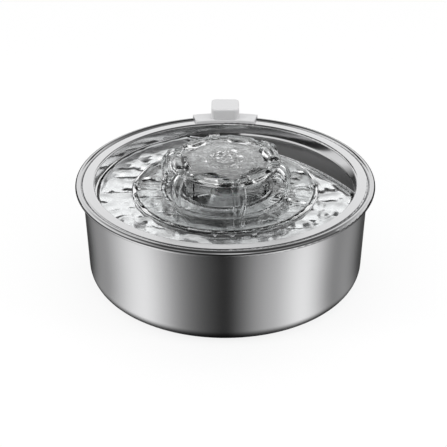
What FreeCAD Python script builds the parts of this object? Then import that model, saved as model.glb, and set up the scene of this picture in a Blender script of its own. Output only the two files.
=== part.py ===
import FreeCAD, Part
import math
import os

import Sketcher
from FreeCAD import Placement, Rotation, Vector

# Round steel drinking fountain for a pet, in millimetres.
# The bowl stands on the plane z = 0 with its axis on +Z. The front faces -Y and the rim clip is at +Y.

# Driving dimensions
SIZES = {
    # Reservoir bowl
    "bead_radius": 113.0,         # outside of the rolled rim
    "rim_height": 82.0,           # top of the rolled rim
    "bead_roll": 2.5,             # radius of the rolled edge
    "bead_gap": 0.8,              # slit where the roll ends below the rim
    "bowl_steel": 0.9,            # sheet thickness of the bowl
    "ledge_width": 1.4,           # seat inside the rim that the tray rests on
    "bowl_draft": 2.5,            # how much the wall draws in from rim to table
    "bowl_corner": 15.0,          # round between wall and base
    # Drinking tray
    "tray_steel": 0.7,            # sheet thickness of the tray
    "flange_drop": 0.9,           # flange face below the top of the rim
    "flange_width": 8.8,
    "lip_gap": 0.3,               # room between the tray's lip and the bowl
    "lip_round": 1.4,             # round on the flange's outer edge
    "tray_depth": 11.1,           # from the flange down to the floor
    "tray_draft": 1.3,            # how much the tray wall draws in from flange to floor
    "tray_edge_round": 1.6,       # round from flange to wall
    "tray_floor_round": 3.5,      # round from wall to floor
    "weir_azimuth": 52.0,         # direction of the middle of the return opening
    "weir_room": 1.8,             # from the flower's base to the return opening
    "weir_radius": 193.0,         # radius of the return opening's inner edge
    "weir_rise": 3.0,             # lip along the return opening, above the floor
    "weir_wall_rise": 1.5,        # lower edge of the wall over the opening, above the floor
    "cord_slot_width": 10.0,      # slot for the cord in flange and band
    "cord_slot_inset": 2.0,       # from the slot to the tray wall
    "cord_slot_margin": 0.4,      # from the slot to the lip
    # Grommet of the tray
    "grommet_waist": 1.7,         # rubber between riser and tray
    "grommet_flange": 2.5,        # overhang of each of its two flanges
    "grommet_flange_depth": 1.2,
    # Flower base and drum
    "base_radius": 70.0,
    "base_depth": 2.2,            # thickness of the clear base plate
    "base_edge": 0.6,
    "base_rim_width": 1.8,
    "base_rim_rise": 0.9,
    "base_ring_radius": 47.0,     # raised ring on the plate
    "base_ring_width": 1.6,
    "base_ring_rise": 0.9,
    "base_ring_edge": 0.4,
    "base_collar_wall": 2.2,      # collar around the foot of the drum
    "base_collar_rise": 3.0,
    "drum_radius": 32.0,
    "drum_wall": 2.0,
    "drum_height": 21.8,          # from the plate to the seat of the cap
    "drum_post_width": 2.4,
    "drum_post_rise": 1.5,
    "drum_post_drop": 1.5,        # posts end below the drum's top
    "drum_notches": 3,
    "drum_notch_width": 4.0,
    "drum_notch_height": 6.5,
    "drum_notch_azimuth": -92.0,
    # Riser, from the tube on the pump to the cap
    "riser_gap": 0.3,             # room around pipes that slip over each other
    "riser_wall": 1.5,
    "riser_foot_room": 1.1,       # from the filter's grille to the foot of the riser
    "riser_socket_share": 0.77,   # how far the socket reaches from the riser's foot to the tray floor
    "riser_shoulder_rise": 1.4,   # step in the riser above the base plate
    "riser_bore": 5.0,
    "riser_pipe_wall": 2.0,
    "riser_top_drop": 4.0,        # top of the riser below the cap's seat
    # Flower cap and nozzle
    "petals": 6,
    "petal_azimuth": -108.0,      # direction of the front petal
    "cap_radius": 42.0,
    "cap_seat": 1.0,              # flat of the cap beyond the drum
    "cap_rim_drop": 0.5,          # lowest point of the cap's rim, below the seat
    "cap_rim_rise": 3.4,          # top of the rim, above the seat
    "cap_rim_width": 6.0,
    "cap_rim_round": 1.9,
    "cap_rim_slope": 1.0,         # half the width of the slope from rim to dish
    "cap_dish_round": 0.9,
    "cap_dish_rise": 2.2,         # face that the water spreads over, above the seat
    "cap_spigot_depth": 4.5,      # ring that locates the cap in the drum
    "cap_spigot_wall": 1.8,
    "petal_width": 21.0,
    "petal_inset": 2.6,           # straight side of a petal inside the cap's edge
    "petal_depth": 10.9,
    "petal_side": 3.6,            # short straight side beside a petal's arc
    "petal_crest_rise": 7.2,      # inner end of a petal, above the seat
    "petal_edge_rise": 3.9,       # outer side of a petal, above the seat
    "spout_width": 7.0,           # channel in the rim between two petals
    "spout_depth": 0.9,
    "nozzle_plug_radius": 6.4,
    "nozzle_head_radius": 9.5,
    "nozzle_head_depth": 1.8,
    "nozzle_head_round": 1.2,
    "nozzle_roof": 1.2,
    "nozzle_stub_wall": 1.2,
    "nozzle_stub_length": 6.0,    # stub inside the riser
    "nozzle_holes": 6,
    "nozzle_hole_radius": 0.9,
    "nozzle_hole_circle": 2.2,
    # Rim clip
    "band_half_angle": 13.6,      # half of the arc that the band covers
    "band_inset": 1.7,            # inner edge of the band outside the tray wall
    "band_skin": 1.6,             # band above the bead
    "band_edge": 1.0,
    "band_hook_depth": 5.0,       # skirt outside the bead
    "clip_gap": 0.3,              # room between the band and the steel
    "clip_width": 23.0,
    "clip_inset": 0.2,            # inner face of the block from the band's edge
    "clip_overhang": 10.0,        # outer face of the block beyond the bead
    "clip_rise": 9.2,
    "clip_wall": 1.6,
    "clip_corner": 4.0,
    "clip_edge": 1.4,
    # Pump case
    "cup_radius": 7.5,
    "cup_height": 5.0,
    "cup_lip": 1.4,
    "cup_neck_radius": 4.5,
    "cup_stem_radius": 2.5,
    "cup_inset": 10.0,            # suction cups from the case's sides
    "case_wall": 2.0,
    "case_corner": 6.0,
    "case_side_room": 5.0,        # beside the pump
    "case_back_room": 2.5,        # behind the cord gland
    "case_headroom": 3.1,         # above the volute
    "case_notch_width": 6.0,
    "case_notch_depth": 6.0,
    "foam_depth": 5.5,
    "foam_room": 3.6,             # between foam and pump
    # Filter on top of the pump case
    "holder_floor": 1.6,
    "holder_depth": 7.5,
    "slot_width": 3.0,
    "slot_length": 18.0,
    "slot_pitch": 7.0,
    "slot_start": 12.0,           # first slot from the outlet's axis
    "slots_back": 3,
    "slots_front": 2,
    "grille_depth": 1.4,
    "grille_gap": 0.6,            # room between grille and riser
    "pad_gap": 0.4,               # room around the soft pieces
    "pad_skin": 1.2,              # fleece over the granules
    "pad_seam": 4.0,              # closed edge of the fleece
    # Pump
    "running_gap": 0.05,          # between a shaft and what turns on it
    "face_gap": 0.1,              # between two faces that slide
    "turning_gap": 0.5,           # between turning and fixed faces
    "pump_half_width": 19.0,
    "pump_drop": 21.0,            # from the axis down to the foot of the housing
    "pump_rise": 13.0,
    "pump_wall": 2.0,
    "pump_corner": 4.0,
    "chamber_radius": 14.0,
    "chamber_wall": 3.0,
    "chamber_back": 3.5,
    "chamber_front": 7.0,
    "chamber_floor": 1.5,
    "magnet_radius": 6.2,
    "magnet_length": 21.0,
    "well_gap": 0.8,              # water gap around the magnet
    "well_wall": 1.2,
    "outlet_bore": 4.0,
    "outlet_wall": 2.0,
    "outlet_rise": 22.5,
    "outlet_overlap": 3.0,        # how far the outlet's bore reaches into the volute
    "cover_depth": 2.0,
    "cover_boss_radius": 4.0,
    "cover_boss_rise": 4.0,
    "inlet_holes": 6,
    "inlet_hole_radius": 1.9,
    "inlet_hole_circle": 8.2,
    "seal_thickness": 1.0,
    "dial_radius": 14.5,
    "dial_depth": 1.5,
    "dial_tab_width": 6.0,
    "dial_tab_reach": 3.0,
    "dial_tab_root": 2.0,         # tab inside the dial's edge
    "dial_tab_rise": 0.7,         # tab in front of the dial's face
    "dial_tab_round": 1.0,
    "shaft_radius": 1.2,
    "bush_radius": 2.5,
    "bush_length": 2.5,
    "hub_radius": 3.4,
    "impeller_gap": 1.6,          # between the impeller's edge and the chamber
    "impeller_plate": 1.2,
    "vanes": 6,
    "vane_width": 1.2,
    "vane_gap": 1.4,              # between the vanes and the cover
    "core_room": 2.0,             # beside the laminations
    "core_top": 8.0,
    "core_length": 16.0,
    "core_slot_half": 7.6,
    "yoke_depth": 3.5,
    "pole_gap": 0.3,
    "coil_half_width": 6.8,
    "coil_winding": 2.6,
    "coil_side": 1.6,
    "coil_round": 1.2,
    "coil_gap": 0.2,
    "cover_plug": 1.6,
    "gland_across": 10.0,
    "gland_down": 8.0,
    "gland_radius": 3.0,
    "gland_flange": 4.5,
    "gland_flange_depth": 1.2,
    "gland_reach": 4.5,
    "gland_bore": 1.75,
    # Tube from the pump to the riser
    "tube_socket_wall": 1.8,
    "tube_socket_length": 8.0,
    "tube_bore": 4.6,
    "tube_wall": 1.6,
    "tube_end_gap": 1.0,          # from the tube's end to the end of the riser's socket
}

document = FreeCAD.newDocument("pet_fountain")
sheet = document.addObject("Spreadsheet::Sheet", "sizes")
for row, (alias, amount) in enumerate(SIZES.items(), start=1):
    sheet.set("A%d" % row, alias)
    sheet.set("B%d" % row, str(amount))
    sheet.setAlias("B%d" % row, alias)
document.recompute()


class Size:
    """An amount together with the sheet formula that gives it."""

    def __init__(self, value, formula):
        self.value = value
        self.formula = formula

    def __add__(self, other):
        other = as_size(other)
        return Size(self.value + other.value, "(%s + %s)" % (self.formula, other.formula))

    def __sub__(self, other):
        other = as_size(other)
        return Size(self.value - other.value, "(%s - %s)" % (self.formula, other.formula))

    def __mul__(self, other):
        other = as_size(other)
        return Size(self.value * other.value, "(%s * %s)" % (self.formula, other.formula))

    def __truediv__(self, other):
        other = as_size(other)
        return Size(self.value / other.value, "(%s / %s)" % (self.formula, other.formula))

    def __radd__(self, other):
        return as_size(other) + self

    def __rsub__(self, other):
        return as_size(other) - self

    def __rmul__(self, other):
        return as_size(other) * self

    def __rtruediv__(self, other):
        return as_size(other) / self

    def __neg__(self):
        return Size(-self.value, "(0 - %s)" % self.formula)


def as_size(amount):
    if isinstance(amount, Size):
        return amount
    return Size(float(amount), "%g" % amount)


class Sheet:
    """The named dimensions, each as a Size."""


size = Sheet()
for alias in SIZES:
    setattr(size, alias, Size(float(sheet.get(alias)), "sizes.%s" % alias))

ZERO = Size(0.0, "0")
FULL_TURN = 360
CUT_PAST = 1                               # how far cuts run outside the material
SAME = 0.01                                # heights closer than this count as equal
UPRIGHT = Rotation(Vector(1, 0, 0), 90)    # local z to the front, local y up


# Building helpers

def bind(thing, path, amount):
    """Tie a property to the sheet."""
    thing.setExpression(path, as_size(amount).formula)


def new_body(label):
    body = document.addObject("PartDesign::Body", label)
    body.Label = label
    return body


def place(body, x=ZERO, y=ZERO, z=ZERO, rotation=Rotation()):
    """Put a body at its place on the fountain."""
    body.Placement = Placement(Vector(x.value, y.value, z.value), rotation)
    for letter, amount in (("x", x), ("y", y), ("z", z)):
        bind(body, "Placement.Base." + letter, amount)
    return body


def origin_part(body, role):
    for feature in body.Origin.OriginFeatures:
        if feature.Role == role:
            return feature
    raise ValueError(role)


def new_sketch(body, name, plane="XY_Plane", height=ZERO, turn=None):
    """A sketch on one of the body's own planes, lifted along its normal and turned about it."""
    sketch = body.newObject("Sketcher::SketchObject", name)
    sketch.AttachmentSupport = (origin_part(body, plane), [""])
    sketch.MapMode = "FlatFace"
    angle = turn.value if turn else 0.0
    sketch.AttachmentOffset = Placement(Vector(0, 0, height.value), Rotation(Vector(0, 0, 1), angle))
    bind(sketch, "AttachmentOffset.Base.z", height)
    if turn:
        bind(sketch, "AttachmentOffset.Rotation.Angle", turn)
    return sketch


def pin_point(sketch, geometry, end, across, up):
    """Hold one point of a sketch at a place worked out from the sheet."""
    for kind, axis, amount in (("DistanceX", -2, across), ("DistanceY", -1, up)):
        amount = as_size(amount)
        if amount.formula == "0":
            sketch.addConstraint(Sketcher.Constraint("PointOnObject", geometry, end, axis))
            continue
        index = sketch.addConstraint(Sketcher.Constraint(kind, -1, 1, geometry, end, amount.value))
        bind(sketch, "Constraints[%d]" % index, amount)


def hold_radius(sketch, geometry, radius):
    index = sketch.addConstraint(Sketcher.Constraint("Radius", geometry, radius.value))
    bind(sketch, "Constraints[%d]" % index, radius)


def draw_circle(sketch, across, up, radius):
    radius = as_size(radius)
    centre = Vector(as_size(across).value, as_size(up).value, 0)
    index = sketch.addGeometry(Part.Circle(centre, Vector(0, 0, 1), radius.value))
    hold_radius(sketch, index, radius)
    pin_point(sketch, index, 3, across, up)


def nearest_end(sketch, arc, point):
    start = sketch.getPoint(arc, 1)
    finish = sketch.getPoint(arc, 2)
    return 1 if (start - point).Length < (finish - point).Length else 2


def draw_outline(sketch, corners):
    """A closed line through corners, each (across, up) or (across, up, rounding)."""
    points = [Vector(as_size(c[0]).value, as_size(c[1]).value, 0) for c in corners]
    rounds = [as_size(c[2]) if len(c) > 2 else None for c in corners]
    count = len(corners)
    arrive = list(points)
    leave = list(points)
    for i in range(count):
        if rounds[i] is None:
            continue
        back = (points[i - 1] - points[i]).normalize()
        ahead = (points[(i + 1) % count] - points[i]).normalize()
        reach = rounds[i].value / math.tan(back.getAngle(ahead) / 2)
        arrive[i] = points[i] + back * reach
        leave[i] = points[i] + ahead * reach
    lines = []
    for i in range(count):
        lines.append(sketch.addGeometry(Part.LineSegment(leave[i - 1], arrive[i])))
    for i in range(count):
        before = lines[i]
        after = lines[(i + 1) % count]
        if rounds[i] is None:
            sketch.addConstraint(Sketcher.Constraint("Coincident", before, 2, after, 1))
            pin_point(sketch, before, 2, corners[i][0], corners[i][1])
            continue
        inward = (arrive[i] + leave[i]) * 0.5 - points[i]
        half = points[i].distanceToPoint(arrive[i])
        to_centre = math.hypot(half, rounds[i].value)
        middle = points[i] + inward.normalize() * (to_centre - rounds[i].value)
        arc = sketch.addGeometry(Part.Arc(arrive[i], middle, leave[i]))
        corner = sketch.addGeometry(Part.Point(points[i]), True)
        first = nearest_end(sketch, arc, arrive[i])
        sketch.addConstraint(Sketcher.Constraint("Tangent", before, 2, arc, first))
        sketch.addConstraint(Sketcher.Constraint("Tangent", arc, 3 - first, after, 1))
        sketch.addConstraint(Sketcher.Constraint("PointOnObject", corner, 1, before))
        sketch.addConstraint(Sketcher.Constraint("PointOnObject", corner, 1, after))
        hold_radius(sketch, arc, rounds[i])
        pin_point(sketch, corner, 1, corners[i][0], corners[i][1])


def rectangle(left, right, low, high, rounding=None):
    corners = [(left, low), (right, low), (right, high), (left, high)]
    if rounding is None:
        return corners
    return [corner + (rounding,) for corner in corners]


def finish_feature(body, feature):
    body.Tip = feature
    document.recompute()
    return feature


def turned(body, name, corners, cut=False, plane="XZ_Plane", sweep=None):
    """Turn an outline about the body's Z axis, to add material or to cut it away."""
    sketch = new_sketch(body, name + "_outline", plane)
    draw_outline(sketch, corners)
    return turn_sketch(body, name, sketch, cut, sweep)


def turn_sketch(body, name, sketch, cut=False, sweep=None):
    kind = "PartDesign::Groove" if cut else "PartDesign::Revolution"
    feature = body.newObject(kind, name)
    feature.Profile = sketch
    feature.ReferenceAxis = (sketch, ["V_Axis"])
    feature.Angle = FULL_TURN
    if sweep is not None:
        feature.Midplane = True
        bind(feature, "Angle", sweep)
    return finish_feature(body, feature)


def turned_ring(body, name, across, up, radius, cut=False):
    """A round wire or a round groove about the body's Z axis."""
    sketch = new_sketch(body, name + "_outline", "XZ_Plane")
    draw_circle(sketch, across, up, radius)
    return turn_sketch(body, name, sketch, cut)


def extrude(body, name, sketch, length, cut=False, reverse=False):
    """Pad a sketch along its normal, or pocket it the same way."""
    kind = "PartDesign::Pocket" if cut else "PartDesign::Pad"
    feature = body.newObject(kind, name)
    feature.Profile = sketch
    feature.Reversed = reverse != cut
    before = 0.0 if feature.BaseFeature is None else feature.BaseFeature.Shape.Volume
    bind(feature, "Length", length)
    finish_feature(body, feature)
    if cut and feature.Shape.Volume >= before:
        raise ValueError("%s cuts nothing" % name)
    return feature


def block(body, name, corners, low, high, cut=False, turn=None):
    """An outline in plan between two heights."""
    sketch = new_sketch(body, name + "_outline", "XY_Plane", as_size(low), turn)
    draw_outline(sketch, corners)
    return extrude(body, name, sketch, high - low, cut)


def post(body, name, across, along, radius, low, high, cut=False, turn=None):
    """A round post or hole between two heights."""
    sketch = new_sketch(body, name + "_outline", "XY_Plane", as_size(low), turn)
    draw_circle(sketch, across, along, radius)
    return extrude(body, name, sketch, high - low, cut)


def through(amount):
    """The far end of a cut, a little outside the material."""
    return amount + CUT_PAST


def short_of(amount):
    """The near end of a cut, a little outside the material."""
    return amount - CUT_PAST


def repeat_around(body, feature, count):
    """Copies of a feature evenly round the body's Z axis."""
    pattern = body.newObject("PartDesign::PolarPattern", feature.Name + "_around")
    pattern.Originals = [feature]
    pattern.Axis = (origin_part(body, "Z_Axis"), [""])
    pattern.Angle = FULL_TURN
    bind(pattern, "Occurrences", count)
    return finish_feature(body, pattern)


def soften(body, name, radius, wanted):
    """Round the edges that the test picks."""
    base = body.Tip
    edges = ["Edge%d" % (i + 1) for i, edge in enumerate(base.Shape.Edges) if wanted(edge)]
    fillet = body.newObject("PartDesign::Fillet", name)
    fillet.Base = (base, edges)
    bind(fillet, "Radius", radius)
    return finish_feature(body, fillet)


# Heights and radii that several pieces share

# Bowl and tray
ledge_height = size.rim_height - 2 * size.bead_roll
neck_radius = size.bead_radius - 2 * size.bead_roll
bowl_inner_radius = neck_radius - size.ledge_width
bowl_top_radius = bowl_inner_radius + size.bowl_steel
bowl_base_radius = bowl_top_radius - size.bowl_draft
flange_height = size.rim_height - size.flange_drop
lip_radius = neck_radius - size.lip_gap
tray_top_radius = lip_radius - size.flange_width
tray_floor_radius = tray_top_radius - size.tray_draft
floor_height = flange_height - size.tray_depth
floor_underside = floor_height - size.tray_steel
weir_near = size.base_radius + size.weir_room
weir_centre = weir_near - size.weir_radius
cord_slot_near = tray_top_radius + size.tray_steel + size.cord_slot_inset
cord_slot_far = lip_radius - size.tray_steel - size.cord_slot_margin

# Riser and flower
tube_radius = size.tube_bore + size.tube_wall
riser_socket_radius = tube_radius + size.riser_gap
riser_radius = riser_socket_radius + size.riser_wall
riser_pipe_radius = size.riser_bore + size.riser_pipe_wall
grommet_bore = riser_radius + size.riser_gap
grommet_hole_radius = grommet_bore + size.grommet_waist
grommet_radius = grommet_hole_radius + size.grommet_flange
base_top = floor_height + size.base_depth
drum_top = base_top + size.drum_height
drum_inner_radius = size.drum_radius - size.drum_wall
post_radius = size.drum_radius + size.drum_post_rise
collar_bore = post_radius + size.riser_gap
riser_top = drum_top - size.riser_top_drop
gap_azimuth = size.petal_azimuth + 180 / size.petals
cap_bore = size.nozzle_plug_radius + size.running_gap
cap_rim_top = drum_top + size.cap_rim_rise
cap_dish = drum_top + size.cap_dish_rise
cap_rim_inner = size.cap_radius - size.cap_rim_width
petal_far = size.cap_radius - size.petal_inset
petal_near = petal_far - size.petal_depth
petal_crest = drum_top + size.petal_crest_rise
petal_edge = drum_top + size.petal_edge_rise

# Rim clip
band_near = tray_top_radius + size.band_inset
band_bore = size.bead_radius + size.clip_gap
band_far = band_bore + size.band_skin
band_top = size.rim_height + size.band_skin
clip_near = band_near + size.clip_inset
clip_far = size.bead_radius + size.clip_overhang
clip_top = band_top + size.clip_rise

# Pump, measured from the impeller's axis and the outlet's axis
volute_radius = size.chamber_radius + size.chamber_wall
volute_back = size.chamber_back + size.chamber_floor
cavity_front = volute_back + size.pump_wall
seal_radius = size.chamber_radius + size.chamber_wall / 2
well_radius = size.magnet_radius + size.well_gap
hub_back = size.chamber_back - size.turning_gap
magnet_back = hub_back + size.magnet_length
well_back = magnet_back + size.turning_gap + size.bush_length
pump_back = well_back + size.well_wall + size.cover_plug
core_front = cavity_front + size.coil_side + 2 * size.coil_gap
core_back = core_front + size.core_length
core_bottom = size.pump_drop - size.pump_wall - size.coil_winding - 2 * size.coil_gap
outlet_radius = size.outlet_bore + size.outlet_wall
cover_front = size.chamber_front + size.cover_depth

# Pump case, filter and tube
cup_top = size.bowl_steel + size.cup_height
case_floor = cup_top + size.case_wall
pump_axis_height = case_floor + size.pump_drop
volute_top = pump_axis_height + volute_radius
case_top = volute_top + size.case_headroom
case_half_width = size.pump_half_width + size.case_side_room + size.case_wall
foam_back = cover_front + size.cover_boss_rise + size.foam_room
case_front = -(foam_back + size.foam_depth + size.pad_gap + size.case_wall)
case_back = pump_back + size.gland_reach + size.case_back_room + size.case_wall
case_middle = (case_front + case_back) / 2
case_half_length = (case_back - case_front) / 2
holder_floor_top = case_top + size.holder_floor
holder_top = case_top + size.holder_depth
grille_top = holder_top + size.grille_depth
pad_low = holder_floor_top + size.pad_gap
pad_high = holder_top - size.pad_gap
tube_socket_radius = outlet_radius + size.running_gap
tube_socket_outer = tube_socket_radius + size.tube_socket_wall
tube_socket_low = volute_top + size.riser_gap
riser_bottom = grille_top + size.riser_foot_room
riser_socket_top = riser_bottom + size.riser_socket_share * (floor_height - riser_bottom)


# Reservoir bowl

def reservoir_bowl():
    """Deep-drawn bowl: flat base, round corner, straight wall, seat for the tray and a rolled rim."""
    body = new_body("reservoir_bowl")
    steel = size.bowl_steel
    turned(body, "bowl_wall", [
        (ZERO, ZERO),
        (bowl_base_radius, ZERO, size.bowl_corner),
        (bowl_top_radius, ledge_height - steel),
        (neck_radius + steel, ledge_height - steel, steel),
        (neck_radius + steel, ledge_height + size.bead_roll),
        (neck_radius, ledge_height + size.bead_roll),
        (neck_radius, ledge_height),
        (bowl_inner_radius, ledge_height),
        (bowl_base_radius - steel, steel, size.bowl_corner - steel),
        (ZERO, steel),
    ])
    bead_centre = size.bead_radius - size.bead_roll
    bead_height = size.rim_height - size.bead_roll
    turned_ring(body, "bead", bead_centre, bead_height, size.bead_roll)
    turned_ring(body, "bead_hollow", bead_centre, bead_height, size.bead_roll - steel, cut=True)
    near = neck_radius + steel
    slit = rectangle(near, near + size.bead_gap, ledge_height - steel, bead_height)
    turned(body, "bead_slit", slit, cut=True)
    return body


# Drinking tray

def tray_shell(body):
    """Flange with a turned-down lip, wall and flat floor of one steel thickness."""
    steel = size.tray_steel
    turned(body, "tray_shell", [
        (grommet_hole_radius, floor_height),
        (tray_floor_radius, floor_height, size.tray_floor_round),
        (tray_top_radius, flange_height, size.tray_edge_round),
        (lip_radius, flange_height, size.lip_round),
        (lip_radius, ledge_height),
        (lip_radius - steel, ledge_height),
        (lip_radius - steel, flange_height - steel, size.lip_round - steel),
        (tray_top_radius + steel, flange_height - steel, size.tray_edge_round - steel),
        (tray_floor_radius + steel, floor_underside, size.tray_floor_round + steel),
        (grommet_hole_radius, floor_underside),
    ])


def crescent(sketch, near_radius, far_radius):
    """The region between the weir's long arc and a circle about the fountain's axis."""
    near = near_radius.value
    far = far_radius.value
    centre = weir_centre.value
    crossing = (far ** 2 - near ** 2 + centre ** 2) / (2 * centre)
    side = math.sqrt(far ** 2 - crossing ** 2)
    inner_angle = math.atan2(side, crossing - centre)
    outer_angle = math.atan2(side, crossing)
    inner_circle = Part.Circle(Vector(centre, 0, 0), Vector(0, 0, 1), near)
    outer_circle = Part.Circle(Vector(0, 0, 0), Vector(0, 0, 1), far)
    inner = sketch.addGeometry(Part.ArcOfCircle(inner_circle, -inner_angle, inner_angle))
    outer = sketch.addGeometry(Part.ArcOfCircle(outer_circle, -outer_angle, outer_angle))
    sketch.addConstraint(Sketcher.Constraint("Coincident", inner, 1, outer, 1))
    sketch.addConstraint(Sketcher.Constraint("Coincident", inner, 2, outer, 2))
    hold_radius(sketch, inner, near_radius)
    hold_radius(sketch, outer, far_radius)
    pin_point(sketch, inner, 3, weir_centre, ZERO)
    pin_point(sketch, outer, 3, ZERO, ZERO)


def return_opening(body):
    """Crescent through the tray's floor, with a thin upstand that the water runs over."""
    steel = size.tray_steel
    wall_middle = (tray_top_radius + tray_floor_radius + steel) / 2
    lip = new_sketch(body, "weir_outline", "XY_Plane", floor_underside, size.weir_azimuth)
    crescent(lip, size.weir_radius - steel, wall_middle)
    extrude(body, "weir", lip, floor_height + size.weir_rise - floor_underside)
    low = short_of(floor_underside)
    hollow = new_sketch(body, "weir_hollow_outline", "XY_Plane", low, size.weir_azimuth)
    crescent(hollow, size.weir_radius, wall_middle - steel)
    extrude(body, "weir_hollow", hollow, through(floor_height + size.weir_rise) - low, cut=True)
    wall = new_sketch(body, "wall_cut_outline", "XY_Plane", low, size.weir_azimuth)
    crescent(wall, size.weir_radius, tray_top_radius + 2 * steel)
    extrude(body, "wall_cut", wall, floor_height + size.weir_wall_rise - low, cut=True)


def drinking_tray():
    body = new_body("drinking_tray")
    tray_shell(body)
    return_opening(body)
    half = size.cord_slot_width / 2
    slot = rectangle(-half, half, cord_slot_near, cord_slot_far)
    block(body, "cord_slot", slot, ledge_height, through(flange_height), cut=True)
    return body


def tray_grommet():
    """Silicone ring that seals the riser in the tray floor."""
    body = new_body("tray_grommet")
    waist = grommet_hole_radius - size.running_gap
    depth = size.grommet_flange_depth
    floor = floor_height
    turned(body, "grommet", [
        (grommet_bore, floor_underside - depth),
        (grommet_radius, floor_underside - depth),
        (grommet_radius, floor_underside),
        (waist, floor_underside),
        (waist, floor),
        (grommet_radius, floor),
        (grommet_radius, floor + depth),
        (grommet_bore, floor + depth),
    ])
    return body


# Flower base, drum and riser

def flower_base():
    """Clear plate that lies in the tray, with a raised rim, a ring and a collar for the drum."""
    body = new_body("flower_base")
    bore = riser_radius + size.running_gap
    rim_top = base_top + size.base_rim_rise
    ring_half = size.base_ring_width / 2
    ring_top = base_top + size.base_ring_rise
    collar_radius = collar_bore + size.base_collar_wall
    collar_top = base_top + size.base_collar_rise
    recess_radius = grommet_radius + size.riser_gap
    recess_top = floor_height + size.grommet_flange_depth + size.riser_gap
    turned(body, "base_plate", [
        (bore, recess_top),
        (recess_radius, recess_top),
        (recess_radius, floor_height),
        (size.base_radius, floor_height, size.base_edge),
        (size.base_radius, rim_top, size.base_edge),
        (size.base_radius - size.base_rim_width, rim_top, size.base_edge),
        (size.base_radius - 2 * size.base_rim_width, base_top),
        (size.base_ring_radius + 2 * ring_half, base_top),
        (size.base_ring_radius + ring_half, ring_top, size.base_ring_edge),
        (size.base_ring_radius - ring_half, ring_top, size.base_ring_edge),
        (size.base_ring_radius - 2 * ring_half, base_top),
        (collar_radius, base_top),
        (collar_radius, collar_top, size.base_ring_edge),
        (collar_bore, collar_top, size.base_ring_edge),
        (collar_bore, base_top),
        (bore, base_top),
    ])
    return body


def flower_drum():
    """Clear wall between plate and cap, with six outside posts and small notches in its foot."""
    body = new_body("flower_drum")
    turned(body, "drum_wall", rectangle(drum_inner_radius, size.drum_radius, base_top, drum_top))
    half = size.drum_post_width / 2
    corners = rectangle(size.drum_radius - size.drum_wall / 2, post_radius, -half, half)
    rib = block(body, "post", corners, base_top, drum_top - size.drum_post_drop, turn=gap_azimuth)
    repeat_around(body, rib, size.petals)
    half = size.drum_notch_width / 2
    corners = rectangle(short_of(drum_inner_radius), through(size.drum_radius), -half, half)
    notch_top = base_top + size.drum_notch_height
    low = short_of(base_top)
    notch = block(body, "notch", corners, low, notch_top, cut=True, turn=size.drum_notch_azimuth)
    repeat_around(body, notch, size.drum_notches)
    return body


def riser_tube():
    """Pipe that carries the water up from the pump, with a socket that slips over the pump's tube."""
    body = new_body("riser_tube")
    shoulder = base_top + size.riser_shoulder_rise
    turned(body, "riser", [
        (riser_socket_radius, riser_bottom),
        (riser_radius, riser_bottom),
        (riser_radius, shoulder),
        (riser_pipe_radius, shoulder),
        (riser_pipe_radius, riser_top),
        (size.riser_bore, riser_top),
        (size.riser_bore, riser_socket_top),
        (riser_socket_radius, riser_socket_top),
    ])
    return body


# Flower cap

def cap_disc(body):
    """Round disc with a full-round rim, a shallow dish and a ring that fits in the drum."""
    spigot_radius = drum_inner_radius - size.riser_gap
    spigot_inner = spigot_radius - size.cap_spigot_wall
    spigot_low = drum_top - size.cap_spigot_depth
    underside = drum_top - size.cap_rim_drop
    turned(body, "cap_disc", [
        (cap_bore, drum_top),
        (spigot_inner, drum_top),
        (spigot_inner, spigot_low),
        (spigot_radius, spigot_low),
        (spigot_radius, drum_top),
        (size.drum_radius + size.cap_seat, drum_top),
        (cap_rim_inner, underside, size.cap_dish_round),
        (size.cap_radius, underside, size.cap_rim_round),
        (size.cap_radius, cap_rim_top, size.cap_rim_round),
        (cap_rim_inner + size.cap_rim_slope, cap_rim_top, size.cap_dish_round),
        (cap_rim_inner - size.cap_rim_slope, cap_dish, size.cap_dish_round),
        (cap_bore, cap_dish),
    ])


def petal_outline(sketch):
    """D shape: straight outer side, two short sides and one broad arc towards the middle."""
    half = size.petal_width / 2
    shoulder = petal_far - size.petal_side
    width = half.value
    side = shoulder.value
    near = petal_near.value
    far = petal_far.value
    crown = Part.Arc(Vector(side, width, 0), Vector(near, 0, 0), Vector(side, -width, 0))
    arc = sketch.addGeometry(crown)
    low = 1 if sketch.getPoint(arc, 1).y < 0 else 2
    lower = sketch.addGeometry(Part.LineSegment(Vector(side, -width, 0), Vector(far, -width, 0)))
    outer = sketch.addGeometry(Part.LineSegment(Vector(far, -width, 0), Vector(far, width, 0)))
    upper = sketch.addGeometry(Part.LineSegment(Vector(far, width, 0), Vector(side, width, 0)))
    tip = sketch.addGeometry(Part.Point(Vector(near, 0, 0)), True)
    sketch.addConstraint(Sketcher.Constraint("Coincident", arc, low, lower, 1))
    sketch.addConstraint(Sketcher.Constraint("Coincident", lower, 2, outer, 1))
    sketch.addConstraint(Sketcher.Constraint("Coincident", outer, 2, upper, 1))
    sketch.addConstraint(Sketcher.Constraint("Coincident", upper, 2, arc, 3 - low))
    sketch.addConstraint(Sketcher.Constraint("PointOnObject", tip, 1, arc))
    pin_point(sketch, tip, 1, petal_near, ZERO)
    pin_point(sketch, lower, 1, shoulder, -half)
    pin_point(sketch, outer, 1, petal_far, -half)
    pin_point(sketch, outer, 2, petal_far, half)
    pin_point(sketch, upper, 2, shoulder, half)


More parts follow.
